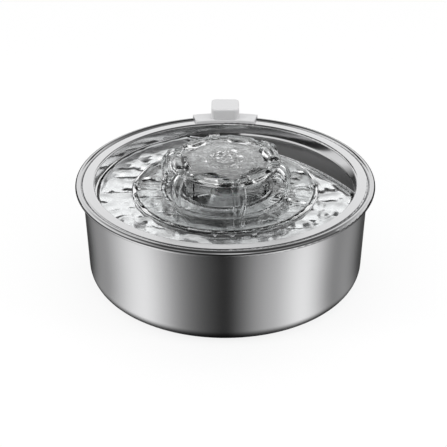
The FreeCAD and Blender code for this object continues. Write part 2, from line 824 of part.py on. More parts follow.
def cap_petals(body):
    """Six raised petals whose faces slope down to the rim."""
    sketch = new_sketch(body, "petal_outline", "XY_Plane", cap_dish - size.spout_depth, size.petal_azimuth)
    petal_outline(sketch)
    petal = extrude(body, "petal", sketch, petal_crest - cap_dish + 2 * size.spout_depth)
    repeat_around(body, petal, size.petals)
    fall = (petal_crest - petal_edge) / size.petal_depth
    reach = through(size.petal_inset)
    over = petal_crest + size.petal_depth
    turned(body, "petal_slope", [
        (petal_near - reach, petal_crest + reach * fall),
        (petal_far + reach, petal_edge - reach * fall),
        (petal_far + reach, over),
        (petal_near - reach, over),
    ], cut=True)


def flower_cap():
    """Disc with six petals and a channel in the rim between each two, where the water runs over."""
    body = new_body("flower_cap")
    cap_disc(body)
    cap_petals(body)
    half = size.spout_width / 2
    corners = rectangle(cap_rim_inner - 2 * size.cap_rim_slope, through(size.cap_radius), -half, half)
    low = cap_rim_top - size.spout_depth
    spout = block(body, "spout", corners, low, petal_crest, cut=True, turn=gap_azimuth)
    repeat_around(body, spout, size.petals)
    return body


def flower_nozzle():
    """Plug in the middle of the cap whose head lets the water bubble up through small holes."""
    body = new_body("flower_nozzle")
    head_top = cap_dish + size.nozzle_head_depth
    roof = head_top - size.nozzle_roof
    stub_radius = size.riser_bore - size.riser_gap
    bore = stub_radius - size.nozzle_stub_wall
    stub_bottom = riser_top - size.nozzle_stub_length
    turned(body, "nozzle", [
        (ZERO, roof),
        (bore, roof),
        (bore, stub_bottom),
        (stub_radius, stub_bottom),
        (stub_radius, drum_top),
        (size.nozzle_plug_radius, drum_top),
        (size.nozzle_plug_radius, cap_dish),
        (size.nozzle_head_radius, cap_dish),
        (size.nozzle_head_radius, head_top, size.nozzle_head_round),
        (ZERO, head_top),
    ])
    circle = size.nozzle_hole_circle
    radius = size.nozzle_hole_radius
    hole = post(body, "nozzle_hole", circle, ZERO, radius, short_of(roof), through(head_top), cut=True)
    repeat_around(body, hole, size.nozzle_holes)
    return body


# Rim clip

def clip_band():
    """Curved strip over the flange and the rolled rim, with a short skirt outside."""
    body = new_body("clip_band")
    over_bead = size.rim_height + size.clip_gap
    hook_low = size.rim_height - size.band_hook_depth
    turned(body, "band", [
        (band_near, flange_height),
        (lip_radius, flange_height),
        (lip_radius, over_bead),
        (band_bore, over_bead),
        (band_bore, hook_low),
        (band_far, hook_low),
        (band_far, band_top, size.band_edge),
        (band_near, band_top, size.band_edge),
    ], plane="YZ_Plane", sweep=2 * size.band_half_angle)
    half = size.cord_slot_width / 2 - size.clip_gap
    slot = rectangle(-half, half, clip_near + size.clip_wall, cord_slot_far)
    block(body, "cord_slot", slot, short_of(flange_height), through(band_top), cut=True)
    return body


def clip_block():
    """Raised block on the band: a hollow cover that leads the cord out over the rim and down."""
    body = new_body("clip_block")
    half = size.clip_width / 2
    wall = size.clip_wall
    corners = rectangle(-half, half, clip_near, clip_far, size.clip_corner)
    block(body, "block", corners, band_top, clip_top)
    top = clip_top.value
    soften(body, "block_edge", size.clip_edge, lambda edge: abs(edge.CenterOfMass.z - top) < SAME)
    hollow = rectangle(wall - half, half - wall, clip_near + wall, clip_far - wall, size.clip_corner - wall)
    block(body, "block_hollow", hollow, short_of(band_top), clip_top - wall, cut=True)
    return body


# Pump case

def cup_places():
    """Numbers and places of the four suction cups."""
    across = case_half_width - size.cup_inset
    along = case_half_length - size.cup_inset
    signs = ((-1, -1), (1, -1), (1, 1), (-1, 1))
    return [(number, x * across, case_middle + y * along) for number, (x, y) in enumerate(signs)]


def suction_cups():
    """Four rubber cups under the pump case, each with a stem in the case's floor."""
    body = new_body("suction_cups")
    body.AllowCompound = True
    foot = size.bowl_steel
    stem_radius = size.cup_stem_radius - size.running_gap
    stem_top = case_floor - size.running_gap
    for number, x, y in cup_places():
        post(body, "cup_%d" % number, x, y, size.cup_radius, foot, foot + size.cup_lip)
        post(body, "neck_%d" % number, x, y, size.cup_neck_radius, foot, cup_top)
        post(body, "stem_%d" % number, x, y, stem_radius, foot, stem_top)
    return body


def case_plan(inset, corner):
    """Outline of the pump case, drawn in by an inset."""
    half = case_half_width - inset
    return rectangle(-half, half, case_front + inset, case_back - inset, corner)


def pump_case():
    """Open box around the pump, with holes for the cups and a notch for the cord."""
    body = new_body("pump_case")
    wall = size.case_wall
    block(body, "box", case_plan(ZERO, size.case_corner), cup_top, case_top)
    block(body, "inside", case_plan(wall, size.case_corner - wall), case_floor, through(case_top), cut=True)
    for number, x, y in cup_places():
        low = short_of(cup_top)
        post(body, "cup_hole_%d" % number, x, y, size.cup_stem_radius, low, through(case_floor), cut=True)
    half = size.case_notch_width / 2
    centre = size.gland_across
    notch = rectangle(centre - half, centre + half, short_of(case_back - wall), through(case_back))
    block(body, "cord_notch", notch, case_top - size.case_notch_depth, through(case_top), cut=True)
    return body


def slot_rows(body, low, high):
    """Rows of water slots before and behind the outlet."""
    half = size.slot_length / 2
    for side, sign, count in (("back", 1, size.slots_back), ("front", -1, size.slots_front)):
        for number in range(int(count.value)):
            near = size.slot_start + number * size.slot_pitch
            far = near + size.slot_width
            edges = (near, far) if sign > 0 else (-far, -near)
            corners = rectangle(-half, half, *edges)
            block(body, "slot_%s_%d" % (side, number), corners, low, high, cut=True)


def filter_holder():
    """Shallow basket that closes the case and carries the filter pad."""
    body = new_body("filter_holder")
    wall = size.case_wall
    block(body, "basket", case_plan(ZERO, size.case_corner), case_top, holder_top)
    inside = case_plan(wall, size.case_corner - wall)
    block(body, "inside", inside, holder_floor_top, through(holder_top), cut=True)
    hole = tube_socket_outer + size.riser_gap
    post(body, "outlet_hole", ZERO, ZERO, hole, short_of(case_top), through(holder_floor_top), cut=True)
    slot_rows(body, short_of(case_top), through(holder_floor_top))
    return body


def granule_plan(gap):
    """Field behind the outlet that holds the carbon granules."""
    inset = size.case_wall + size.pad_gap + size.pad_seam + gap
    half = case_half_width - inset
    near = tube_socket_outer + size.pad_gap + size.pad_seam + gap
    return rectangle(-half, half, near, case_back - inset)


def filter_pad():
    """Fleece pad with a hole for the outlet, closed round its edge and hollow for the granules."""
    body = new_body("filter_pad")
    inset = size.case_wall + size.pad_gap
    block(body, "fleece", case_plan(inset, size.case_corner - inset), pad_low, pad_high)
    hole = tube_socket_outer + 2 * size.pad_gap
    post(body, "outlet_hole", ZERO, ZERO, hole, short_of(pad_low), through(pad_high), cut=True)
    block(body, "pocket", granule_plan(ZERO), pad_low + size.pad_skin, pad_high - size.pad_skin, cut=True)
    return body


def filter_granules():
    """Bed of carbon granules inside the pad."""
    body = new_body("filter_granules")
    skin = size.pad_skin + size.pad_gap
    block(body, "granules", granule_plan(size.pad_gap), pad_low + skin, pad_high - skin)
    return body


def filter_grille():
    """Flat slotted cover over the filter pad."""
    body = new_body("filter_grille")
    block(body, "grille", case_plan(ZERO, size.case_corner), holder_top, grille_top)
    hole = riser_radius + size.grille_gap
    post(body, "outlet_hole", ZERO, ZERO, hole, short_of(holder_top), through(grille_top), cut=True)
    slot_rows(body, short_of(holder_top), through(grille_top))
    return body


def foam_block():
    """Foam strainer between the case's front wall and the pump."""
    body = new_body("foam_block")
    inset = size.case_wall + size.pad_gap
    half = case_half_width - inset
    front = case_front + inset
    corner = size.case_corner - inset
    outline = [
        (-half, front, corner),
        (half, front, corner),
        (half, -foam_back),
        (-half, -foam_back),
    ]
    block(body, "foam", outline, case_floor + size.pad_gap, case_top - size.pad_gap)
    return body


# Pump, drawn about the impeller's axis

def on_pump(body):
    return place(body, ZERO, ZERO, pump_axis_height, UPRIGHT)


def motor_plan(inset, corner):
    """Outline of the motor's housing seen along the impeller's axis."""
    half = size.pump_half_width - inset
    return rectangle(-half, half, inset - size.pump_drop, size.pump_rise - inset, corner)


def pump_housing():
    """Motor shell, volute, rotor well and outlet in one moulding."""
    body = on_pump(new_body("pump_housing"))
    wall = size.pump_wall
    back = -pump_back
    volute_low = -volute_back
    block(body, "motor_shell", motor_plan(ZERO, size.pump_corner), back, volute_low)
    post(body, "volute", ZERO, ZERO, volute_radius, volute_low, size.chamber_front)
    room = motor_plan(wall, size.pump_corner - wall)
    block(body, "motor_room", room, short_of(back), -cavity_front, cut=True)
    tube_back = -(well_back + size.well_wall)
    post(body, "well_tube", ZERO, ZERO, well_radius + size.well_wall, tube_back, -volute_back)
    outlet = new_sketch(body, "outlet_outline", "XZ_Plane", ZERO)
    draw_circle(outlet, ZERO, ZERO, outlet_radius)
    extrude(body, "outlet", outlet, size.outlet_rise, reverse=True)
    bore_start = size.chamber_radius - size.outlet_overlap
    bore = new_sketch(body, "outlet_bore_outline", "XZ_Plane", -bore_start)
    draw_circle(bore, ZERO, ZERO, size.outlet_bore)
    extrude(body, "outlet_bore", bore, through(size.outlet_rise) - bore_start, cut=True, reverse=True)
    low = -size.chamber_back
    high = through(size.chamber_front)
    post(body, "chamber", ZERO, ZERO, size.chamber_radius, low, high, cut=True)
    post(body, "well", ZERO, ZERO, well_radius, -well_back, size.chamber_front, cut=True)
    return body


def inlet_holes(body, low, high):
    """Ring of holes where the water enters the pump."""
    circle = size.inlet_hole_circle
    hole = post(body, "inlet", circle, ZERO, size.inlet_hole_radius, short_of(low), through(high), cut=True)
    repeat_around(body, hole, size.inlet_holes)


def pump_front_cover():
    """Disc that closes the volute, with inlet holes round a boss for the front bush."""
    body = on_pump(new_body("pump_front_cover"))
    low = size.chamber_front
    high = low + size.cover_depth
    boss = high + size.cover_boss_rise
    post(body, "cover", ZERO, ZERO, volute_radius, low, high)
    post(body, "boss", ZERO, ZERO, size.cover_boss_radius, low, boss)
    bush_hole = size.bush_radius + size.running_gap
    bush_end = low + size.bush_length + size.running_gap
    post(body, "bush_hole", ZERO, ZERO, bush_hole, short_of(low), bush_end, cut=True)
    inlet_holes(body, low, high)
    half = size.seal_thickness / 2 + size.running_gap
    groove = rectangle(seal_radius - half, seal_radius + half, short_of(low), low + 2 * half)
    turned(body, "seal_groove", groove, cut=True)
    return body


def pump_seal():
    """Round rubber ring between the volute and its cover."""
    body = on_pump(new_body("pump_seal"))
    half = size.seal_thickness / 2
    turned_ring(body, "seal", seal_radius, size.chamber_front + half + size.running_gap, half)
    return body


def flow_dial():
    """Thin ring that turns over the inlet holes to set the flow."""
    body = on_pump(new_body("flow_dial"))
    low = size.chamber_front + size.cover_depth + size.face_gap
    high = low + size.dial_depth
    post(body, "dial", ZERO, ZERO, size.dial_radius, low, high)
    half = size.dial_tab_width / 2
    near = size.dial_radius - size.dial_tab_root
    tab = rectangle(-half, half, near, size.dial_radius + size.dial_tab_reach, size.dial_tab_round)
    block(body, "tab", tab, low, high + size.dial_tab_rise)
    bore = size.cover_boss_radius + size.running_gap
    post(body, "bore", ZERO, ZERO, bore, short_of(low), through(high), cut=True)
    inlet_holes(body, low, high)
    return body


def rotor_shaft():
    body = on_pump(new_body("rotor_shaft"))
    low = size.turning_gap - well_back
    high = size.chamber_front + size.bush_length - size.running_gap
    post(body, "shaft", ZERO, ZERO, size.shaft_radius, low, high)
    return body


def shaft_bush(label, radius, low, high):
    """Rubber bush that holds one end of the fixed shaft."""
    body = on_pump(new_body(label))
    post(body, "bush", ZERO, ZERO, radius, low, high)
    bore = size.shaft_radius + size.running_gap / 2
    post(body, "bush_bore", ZERO, ZERO, bore, short_of(low), through(high), cut=True)
    return body


def rear_bush():
    low = -well_back
    return shaft_bush("rear_bush", well_radius - size.running_gap, low, low + size.bush_length)


def front_bush():
    low = size.chamber_front
    return shaft_bush("front_bush", size.bush_radius, low, low + size.bush_length)


def impeller():
    """Hub, back plate and straight vanes that turn on the fixed shaft."""
    body = on_pump(new_body("impeller"))
    back = -hub_back
    hub_front = size.chamber_front - 2 * size.turning_gap
    edge = size.chamber_radius - size.impeller_gap
    half = size.vane_width / 2
    post(body, "hub", ZERO, ZERO, size.hub_radius, back, hub_front)
    post(body, "plate", ZERO, ZERO, edge, back, back + size.impeller_plate)
    vane_plan = rectangle(size.hub_radius - half, edge - half, -half, half)
    vane = block(body, "vane", vane_plan, back, size.chamber_front - size.vane_gap)
    repeat_around(body, vane, size.vanes)
    bore = size.shaft_radius + size.running_gap
    post(body, "bore", ZERO, ZERO, bore, short_of(back), through(hub_front), cut=True)
    return body


def rotor_magnet():
    """Ferrite sleeve fixed to the back of the impeller."""
    body = on_pump(new_body("rotor_magnet"))
    post(body, "magnet", ZERO, ZERO, size.magnet_radius, -magnet_back, -hub_back)
    bore = size.shaft_radius + size.running_gap
    post(body, "bore", ZERO, ZERO, bore, short_of(-magnet_back), through(-hub_back), cut=True)
    return body


def stator_core():
    """Laminated U that hugs the rotor well, with its yoke below."""
    body = on_pump(new_body("stator_core"))
    back = -core_back
    front = -core_front
    half = size.pump_half_width - size.pump_wall - size.core_room
    outer = rectangle(-half, half, -core_bottom, size.core_top)
    block(body, "laminations", outer, back, front)
    slot_low = size.yoke_depth - core_bottom
    slot = rectangle(-size.core_slot_half, size.core_slot_half, slot_low, through(size.core_top))
    block(body, "slot", slot, short_of(back), through(front), cut=True)
    pole_radius = well_radius + size.well_wall + size.pole_gap
    post(body, "poles", ZERO, ZERO, pole_radius, short_of(back), through(front), cut=True)
    return body


def stator_coil():
    """Copper winding around the yoke."""
    body = on_pump(new_body("stator_coil"))
    half = size.coil_half_width
    gap = size.coil_gap
    yoke_low = -core_bottom - gap
    yoke_high = size.yoke_depth - core_bottom + gap
    yoke_back = -core_back - gap
    yoke_front = -core_front + gap
    turns = size.coil_winding
    side = size.coil_side
    winding = rectangle(-half, half, yoke_low - turns, yoke_high + turns, size.coil_round)
    block(body, "winding", winding, yoke_back - side, yoke_front + side)
    window = rectangle(short_of(-half), through(half), yoke_low, yoke_high)
    block(body, "window", window, yoke_back, yoke_front, cut=True)
    return body


def pump_back_cover():
    """Plate that closes the motor room, with the hole for the cord's gland."""
    body = on_pump(new_body("pump_back_cover"))
    inset = size.pump_wall + size.running_gap
    low = -pump_back
    high = low + size.cover_plug
    block(body, "back_plate", motor_plan(inset, size.pump_corner - inset), low, high)
    hole = size.gland_radius + size.running_gap
    across = size.gland_across
    post(body, "gland_hole", across, -size.gland_down, hole, short_of(low), through(high), cut=True)
    return body


def cord_gland():
    """Rubber gland in the back cover where the cord enters the motor."""
    body = on_pump(new_body("cord_gland"))
    back = -pump_back
    across = size.gland_across
    down = -size.gland_down
    reach = back - size.gland_reach
    front = back + size.cover_plug
    post(body, "stem", across, down, size.gland_radius, reach, front)
    post(body, "flange", across, down, size.gland_flange, back - size.gland_flange_depth, back)
    post(body, "bore", across, down, size.gland_bore, short_of(reach), through(front), cut=True)
    return body


def outlet_tube():
    """Tube from the pump's outlet up to the riser."""
    body = new_body("outlet_tube")
    seat = pump_axis_height + size.outlet_rise
    socket_top = tube_socket_low + size.tube_socket_length
    tube_top = riser_socket_top - size.tube_end_gap
    turned(body, "tube", [
        (tube_socket_radius, tube_socket_low),
        (tube_socket_outer, tube_socket_low),
        (tube_socket_outer, socket_top),
        (tube_radius, socket_top),
        (tube_radius, tube_top),
        (size.tube_bore, tube_top),
        (size.tube_bore, seat),
        (tube_socket_radius, seat),
    ])
    return body


# The pieces, outside first

def build_pieces():
    return [
        reservoir_bowl(),
        drinking_tray(),
        tray_grommet(),
        flower_base(),
        flower_drum(),
        riser_tube(),
        flower_cap(),
        flower_nozzle(),
        clip_band(),
        clip_block(),
        suction_cups(),
        pump_case(),
        filter_holder(),
        filter_pad(),
        filter_granules(),
        filter_grille(),
        foam_block(),
        pump_housing(),
        pump_front_cover(),
        pump_seal(),
        flow_dial(),
        rotor_shaft(),
        rear_bush(),
        front_bush(),
        impeller(),
        rotor_magnet(),
        stator_core(),
        stator_coil(),
        pump_back_cover(),
        cord_gland(),
        outlet_tube(),
    ]


def check_document():
    """Stop when any object of the document failed."""
    for thing in document.Objects:
        for state in ("Invalid", "Error"):
            if state in thing.State:
                raise RuntimeError("%s is %s" % (thing.Name, state))


def write_pieces(pieces):
    os.makedirs("parts", exist_ok=True)
    for piece in pieces:
        shape = piece.Shape
        if shape.isNull() or not shape.isValid() or not shape.Solids:
            raise RuntimeError("%s has no sound solid" % piece.Label)
    for piece in pieces:
        piece.Shape.exportStep("parts/%s.step" % piece.Label)
        print("%-18s %d solids %9.1f mm3" % (piece.Label, len(piece.Shape.Solids), piece.Shape.Volume))


pieces = build_pieces()
document.recompute()
check_document()
write_pieces(pieces)
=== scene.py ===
import math

import bmesh
import bpy
from mathutils import Matrix, Vector, noise


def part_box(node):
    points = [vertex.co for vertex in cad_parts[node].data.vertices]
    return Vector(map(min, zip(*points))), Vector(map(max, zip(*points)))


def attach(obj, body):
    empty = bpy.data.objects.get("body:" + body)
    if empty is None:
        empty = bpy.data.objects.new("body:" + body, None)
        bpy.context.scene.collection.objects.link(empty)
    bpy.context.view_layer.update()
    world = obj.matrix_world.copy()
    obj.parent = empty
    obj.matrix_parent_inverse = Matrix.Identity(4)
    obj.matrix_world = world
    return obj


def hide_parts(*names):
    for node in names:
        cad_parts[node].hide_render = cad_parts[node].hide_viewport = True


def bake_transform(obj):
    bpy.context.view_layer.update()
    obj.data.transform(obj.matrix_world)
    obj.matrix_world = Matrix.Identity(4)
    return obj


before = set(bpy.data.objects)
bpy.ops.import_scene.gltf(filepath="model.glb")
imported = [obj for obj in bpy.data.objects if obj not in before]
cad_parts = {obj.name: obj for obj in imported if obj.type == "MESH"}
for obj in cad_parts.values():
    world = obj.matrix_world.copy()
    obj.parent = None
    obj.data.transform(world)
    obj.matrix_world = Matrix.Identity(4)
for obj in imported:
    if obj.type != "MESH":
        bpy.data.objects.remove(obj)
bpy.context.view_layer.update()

MM = 0.001
FULL_TURN = 2 * math.pi

# Sizes of the fountain in millimetres, the same as the solids have
BEAD_RADIUS = 113.0
RIM_HEIGHT = 82.0
TRAY_WALL_RADIUS = 98.9
TRAY_FLOOR = 70.0
BASE_TOP = 72.2
DRUM_TOP = 94.0
CAP_RADIUS = 42.0
CAP_RIM_TOP = 97.4
CAP_DISH = 96.2
CAP_EDGE_ROUND = 1.9
# The cap's channels, its ring inside the drum, the base's two rings and the nozzle's head over the dish
CHANNEL_DEPTH = 0.9
LOCATING_RING_DEPTH = 4.5
BASE_RING_RISE = 0.9
NOZZLE_RISE = 1.85
# The return opening's edge is an arc, whose centre lies across the fountain from it
WEIR_AZIMUTH = 52.0
WEIR_CENTRE = -121.2
WEIR_RADIUS = 193.0
# Petals are read from the fountain's axis outwards; the first one faces PETAL_AZIMUTH degrees
PETALS = 6
PETAL_STEP = 360.0 / PETALS
PETAL_AZIMUTH = -108.0
SPOUT_AZIMUTH = PETAL_AZIMUTH + PETAL_STEP / 2
PETAL_NEAR = 28.5
PETAL_FAR = 39.4
PETAL_HALF_WIDTH = 10.5
PETAL_ROUND = 11.2
PETAL_CENTRE = PETAL_NEAR + PETAL_ROUND
PETAL_CREST = 101.2
PETAL_EDGE = 97.9
PETAL_SOFTNESS = 1.9

# Water in millimetres, which the solids leave out
POOL_NEAR = 36.4
POOL_FAR = 97.9
POOL_INSIDE = 73.5
POOL_OUTSIDE = 72.3
WEIR_TOP = 73.0
HAIR_OF_ROOM = 0.05
RING_SPACING = 6.2
RING_FADE = 16
SPLASH_RADIUS = 4.6
DOME_HEIGHT = 2.6
DOME_RADIUS = 10.5
STREAM_START = 34.0
STREAM_REACH = 47.5
STREAM_BOW = 3.4
STREAM_HALF_WIDTH = 4.8
STREAM_THICKNESS = 3.0
# How far a stream clears the cap's edge, and how far down its first point lies under the rim's top
STREAM_CLEARANCE = 0.8
STREAM_DROP = 0.35

# Soft pads are meshed this finely, in millimetres, to hold their matting and pores
SOFT_VOXEL = 0.7

# Studio, in metres and in strengths of light. Its cards stand round the fountain and show in steel and water only
CARD_RADIUS = 0.22
CARD_FOOT = 0.0006
CARD_TOP = 0.0856
CARD_STRENGTH = 1.45
# Tone of the cards by the way a wall faces, in degrees from the front to the right
CARD_TONES = [
    (-180, 0.8), (-164, 0.3), (-150, 1.0), (-132, 0.5), (-116, 0.6), (-96, 0.0), (-82, 0.02), (-68, 0.3),
    (-56, 0.2), (-37, 1.0), (-24, 0.36), (-14, 0.12), (-4, 0.03), (4, 0.0), (15, 0.38), (23, 0.42), (35, 1.0),
    (49, 0.07), (62, 0.34), (78, 0.04), (96, 0.0), (116, 0.6), (132, 0.5), (150, 1.0), (164, 0.3), (180, 0.8)]
# A card's distance at which its edges stay straight, and how fast they bend outwards beyond it
CARD_STRAIGHT = 0.107
CARD_BEND = 1.67
REAR_SHADE_RADIUS = 0.226
REAR_SHADE_FOOT = 0.06
REAR_SHADE_TOP = 0.106
SHADE_BEHIND = 0.2
SHADE_ACROSS = 0.003
SHADE_HEIGHT = 0.214
SHADE_HALF_WIDTH = 0.068
SHADE_HALF_HEIGHT = 0.034
OPENING_CARD_HEIGHT = 0.064
PAPER_GLOW = 0.85
FRONT_GREY = 0.24
# Clear plastic and water show the room lighter than steel does: the least tone, and the added strength
GLASS_LIFT = 0.36
GLASS_GAIN = 0.42
MIRRORED_STRENGTH = 1.25
# Where each window is, how many degrees its soft edge and its full middle reach, and how bright it is
WINDOWS = [((0.09, -0.87, 0.485), 16, 4, 0.5), ((-0.875, 0.0, 0.485), 32, 10, 0.5)]
SOFTBOX_AIM = (0, 0, 0.05)


# Camera

def add_camera():
    """The photograph's view: a long lens a metre away, looking down on the front by 29 degrees."""
    distance = 0.945
    elevation = math.radians(29.2)
    target = Vector((0, 0, 0.041))
    away = Vector((0, -math.cos(elevation), math.sin(elevation)))
    lens = bpy.data.cameras.new("studio_camera")
    lens.lens = 98.5
    lens.sensor_width = 36
    lens.shift_x = -0.0039
    lens.shift_y = 0.0013
    camera = bpy.data.objects.new("studio_camera", lens)
    camera.location = target + away * distance
    camera.rotation_euler = (-away).to_track_quat("-Z", "Y").to_euler()
    bpy.context.scene.collection.objects.link(camera)
    bpy.context.scene.camera = camera


add_camera()
bpy.context.scene.view_settings.view_transform = "Standard"


# Colours and material nodes

def linear(code):
    """Linear colour of an sRGB hex code."""
    parts = [int(code[i:i + 2], 16) / 255 for i in (1, 3, 5)]
    return tuple(v / 12.92 if v <= 0.04045 else ((v + 0.055) / 1.055) ** 2.4 for v in parts) + (1.0,)


def add_node(tree, kind, inputs=None, **settings):
    """One shader node with its settings, and its sockets filled with numbers, colours or links."""
    node = tree.nodes.new(kind)
    for name, value in settings.items():
        setattr(node, name, value)
    for socket, value in (inputs or {}).items():
        if isinstance(value, bpy.types.NodeSocket):
            tree.links.new(value, node.inputs[socket])
        else:
            node.inputs[socket].default_value = value
    return node


def new_material(name, **surface):
    """A material with one Principled shader, whose constants are set on its own sockets."""
    material = bpy.data.materials.new(name)
    material.use_nodes = True
    shader = material.node_tree.nodes["Principled BSDF"]
    for socket, value in surface.items():
        shader.inputs[socket.replace("_", " ").title().replace("Ior", "IOR")].default_value = value
    return material, material.node_tree, shader


def texture_surface(tree, shader, pattern, rough, depth_mm, strength):
    """Let a pattern from 0 to 1 raise the surface by millimetres, and vary the roughness between two values."""
    if rough:
        spread = add_node(tree, "ShaderNodeMapRange",
                          {"Value": pattern, "To Min": rough[0], "To Max": rough[1]})
        tree.links.new(spread.outputs["Result"], shader.inputs["Roughness"])
    raised = add_node(tree, "ShaderNodeBump",
                      {"Height": pattern, "Distance": depth_mm * MM, "Strength": strength})
    tree.links.new(raised.outputs["Normal"], shader.inputs["Normal"])


def pattern_on_piece(tree, length_mm, detail=3.0):
    """Cloudy pattern from 0 to 1 on the piece's own coordinates, whose spots are about length_mm long."""
    place = add_node(tree, "ShaderNodeTexCoord").outputs["Object"]
    return add_node(tree, "ShaderNodeTexNoise",
                    {"Vector": place, "Scale": 1 / (length_mm * MM), "Detail": detail}).outputs["Fac"]


def lines_round_axis(tree, radius_mm, spacing_mm, length_mm, detail):
    """Fine lines round a turned piece, spacing_mm apart and about length_mm long at its radius.

    Gives their pattern from 0 to 1, and the height above the ground in metres.
    """
    place = add_node(tree, "ShaderNodeTexCoord").outputs["Object"]
    parts = add_node(tree, "ShaderNodeSeparateXYZ", {"Vector": place})
    angle = add_node(tree, "ShaderNodeMath", {0: parts.outputs["Y"], 1: parts.outputs["X"]},
                     operation="ARCTAN2")
    arc = add_node(tree, "ShaderNodeMath", {0: angle.outputs[0], 1: radius_mm / length_mm},
                   operation="MULTIPLY")
    flat = add_node(tree, "ShaderNodeCombineXYZ", {"X": parts.outputs["X"], "Y": parts.outputs["Y"]})
    out = add_node(tree, "ShaderNodeVectorMath", {0: flat.outputs[0]}, operation="LENGTH")
    up = add_node(tree, "ShaderNodeMath", {0: parts.outputs["Z"], 1: 1 / (spacing_mm * MM)},
                  operation="MULTIPLY")
    away = add_node(tree, "ShaderNodeMath", {0: out.outputs["Value"], 1: 1 / (spacing_mm * MM)},
                    operation="MULTIPLY")
    unrolled = add_node(tree, "ShaderNodeCombineXYZ",
                        {"X": arc.outputs[0], "Y": up.outputs[0], "Z": away.outputs[0]})
    lines = add_node(tree, "ShaderNodeTexNoise",
                     {"Vector": unrolled.outputs[0], "Scale": 1.0, "Detail": detail})
    return lines.outputs["Fac"], parts.outputs["Z"]


# Materials

def brushed_stainless():
    """Type 304 stainless: brushed round the outside, so that fine lines draw each reflection out up and down,
    satin inside as it left the press, and a buffed rim with sharp black and white reflections."""
    material, tree, shader = new_material(
        "brushed_stainless", base_color=linear("#d6d6d7"), metallic=1.0,
        anisotropic=0.8, anisotropic_rotation=0.25)
    tangent = add_node(tree, "ShaderNodeTangent", direction_type="RADIAL", axis="Z")
    tree.links.new(tangent.outputs[0], shader.inputs["Tangent"])
    # 180 grit leaves lines about 0.1 mm apart, drawn here at 0.8 mm so that they show
    lines, height = lines_round_axis(tree, BEAD_RADIUS, 0.8, 80, 4.0)
    texture_surface(tree, shader, lines, None, 0.02, 0.3)
    surface = add_node(tree, "ShaderNodeNewGeometry")
    # A face that looks away from the ground's middle is outside the bowl, one that looks at it is inside
    outwards = add_node(tree, "ShaderNodeVectorMath",
                        {0: surface.outputs["Normal"], 1: surface.outputs["Position"]},
                        operation="DOT_PRODUCT")
    outside = add_node(tree, "ShaderNodeMapRange",
                       {"Value": outwards.outputs["Value"], "From Min": -0.002, "From Max": 0.002})
    # The buffed rim starts at the foot of the bead
    buffed = add_node(tree, "ShaderNodeMapRange",
                      {"Value": height, "From Min": (RIM_HEIGHT - 5.4) * MM,
                       "From Max": (RIM_HEIGHT - 4.8) * MM})
    brushed = add_node(tree, "ShaderNodeMapRange", {"Value": lines, "To Min": 0.13, "To Max": 0.24})
    wall = add_node(tree, "ShaderNodeMix",
                    {"Factor": outside.outputs["Result"], "A": 0.46, "B": brushed.outputs["Result"]})
    rim = add_node(tree, "ShaderNodeMix",
                   {"Factor": buffed.outputs["Result"], "A": wall.outputs["Result"], "B": 0.07})
    tree.links.new(rim.outputs["Result"], shader.inputs["Roughness"])
    return material


def polished_stainless():
    """Deep-drawn stainless: the flange and the wall are polished nearly to a mirror, with drawing marks, and
    the floor under the water is satin."""
    material, tree, shader = new_material(
        "polished_stainless", base_color=linear("#e4e4e5"), metallic=1.0, roughness=0.12)
    # Drawing marks run round the tray, 1.1 mm apart
    marks, height = lines_round_axis(tree, TRAY_WALL_RADIUS, 1.1, 55, 3.0)
    texture_surface(tree, shader, marks, None, 0.01, 0.3)
    polished = add_node(tree, "ShaderNodeMapRange", {"Value": marks, "To Min": 0.08, "To Max": 0.16})
    above = add_node(tree, "ShaderNodeMapRange",
                     {"Value": height, "From Min": (TRAY_FLOOR + 1) * MM, "From Max": (TRAY_FLOOR + 2.5) * MM})
    face = add_node(tree, "ShaderNodeMix",
                    {"Factor": above.outputs["Result"], "A": 0.18, "B": polished.outputs["Result"]})
    tree.links.new(face.outputs["Result"], shader.inputs["Roughness"])
    return material


def clear_acrylic():
    """Injection-moulded clear acrylic with a polished face: glassy, with slight flow waves."""
    material, tree, shader = new_material(
        "clear_moulded_acrylic", base_color=linear("#fbfcfc"), roughness=0.03, ior=1.49,
        transmission_weight=1.0)
    # Flow waves of the moulding are 12 mm long and a few hundredths deep
    texture_surface(tree, shader, pattern_on_piece(tree, 12, 1.0), None, 0.03, 0.6)
    return material


def running_water():
    """Clean water in motion: mirror-smooth, with small ripples a few millimetres long."""
    material, tree, shader = new_material(
        "running_water", base_color=linear("#fdfefe"), roughness=0.0, ior=1.333, transmission_weight=1.0)
    texture_surface(tree, shader, pattern_on_piece(tree, 4, 1.0), None, 0.05, 0.5)
    return material


def aerated_water():
    """Water that wells up with fine air bubbles in it: bright and slightly milky under a smooth skin."""
    material, tree, shader = new_material(
        "aerated_water", base_color=linear("#f6f7f7"), roughness=0.02, ior=1.333, transmission_weight=0.82)
    texture_surface(tree, shader, pattern_on_piece(tree, 3, 1.0), None, 0.06, 0.5)
    return material


def moulded_plastic(name, code, roughness, grit_mm=0.6):
    """Injection-moulded plastic from a spark-eroded tool: an even, very fine grain and a soft sheen."""
    material, tree, shader = new_material(name, base_color=linear(code), roughness=roughness, ior=1.53)
    rough = (roughness - 0.06, roughness + 0.06)
    texture_surface(tree, shader, pattern_on_piece(tree, grit_mm, 2.0), rough, 0.01, 0.5)
    return material


def cast_silicone():
    """Compression-moulded silicone: milky and slightly waxy, with light bleeding through."""
    material, tree, shader = new_material(
        "milky_silicone", base_color=linear("#dfe2e3"), roughness=0.38, ior=1.41, transmission_weight=0.25,
        subsurface_weight=0.3, subsurface_scale=0.002)
    texture_surface(tree, shader, pattern_on_piece(tree, 6, 2.0), (0.3, 0.46), 0.01, 0.2)
    return material


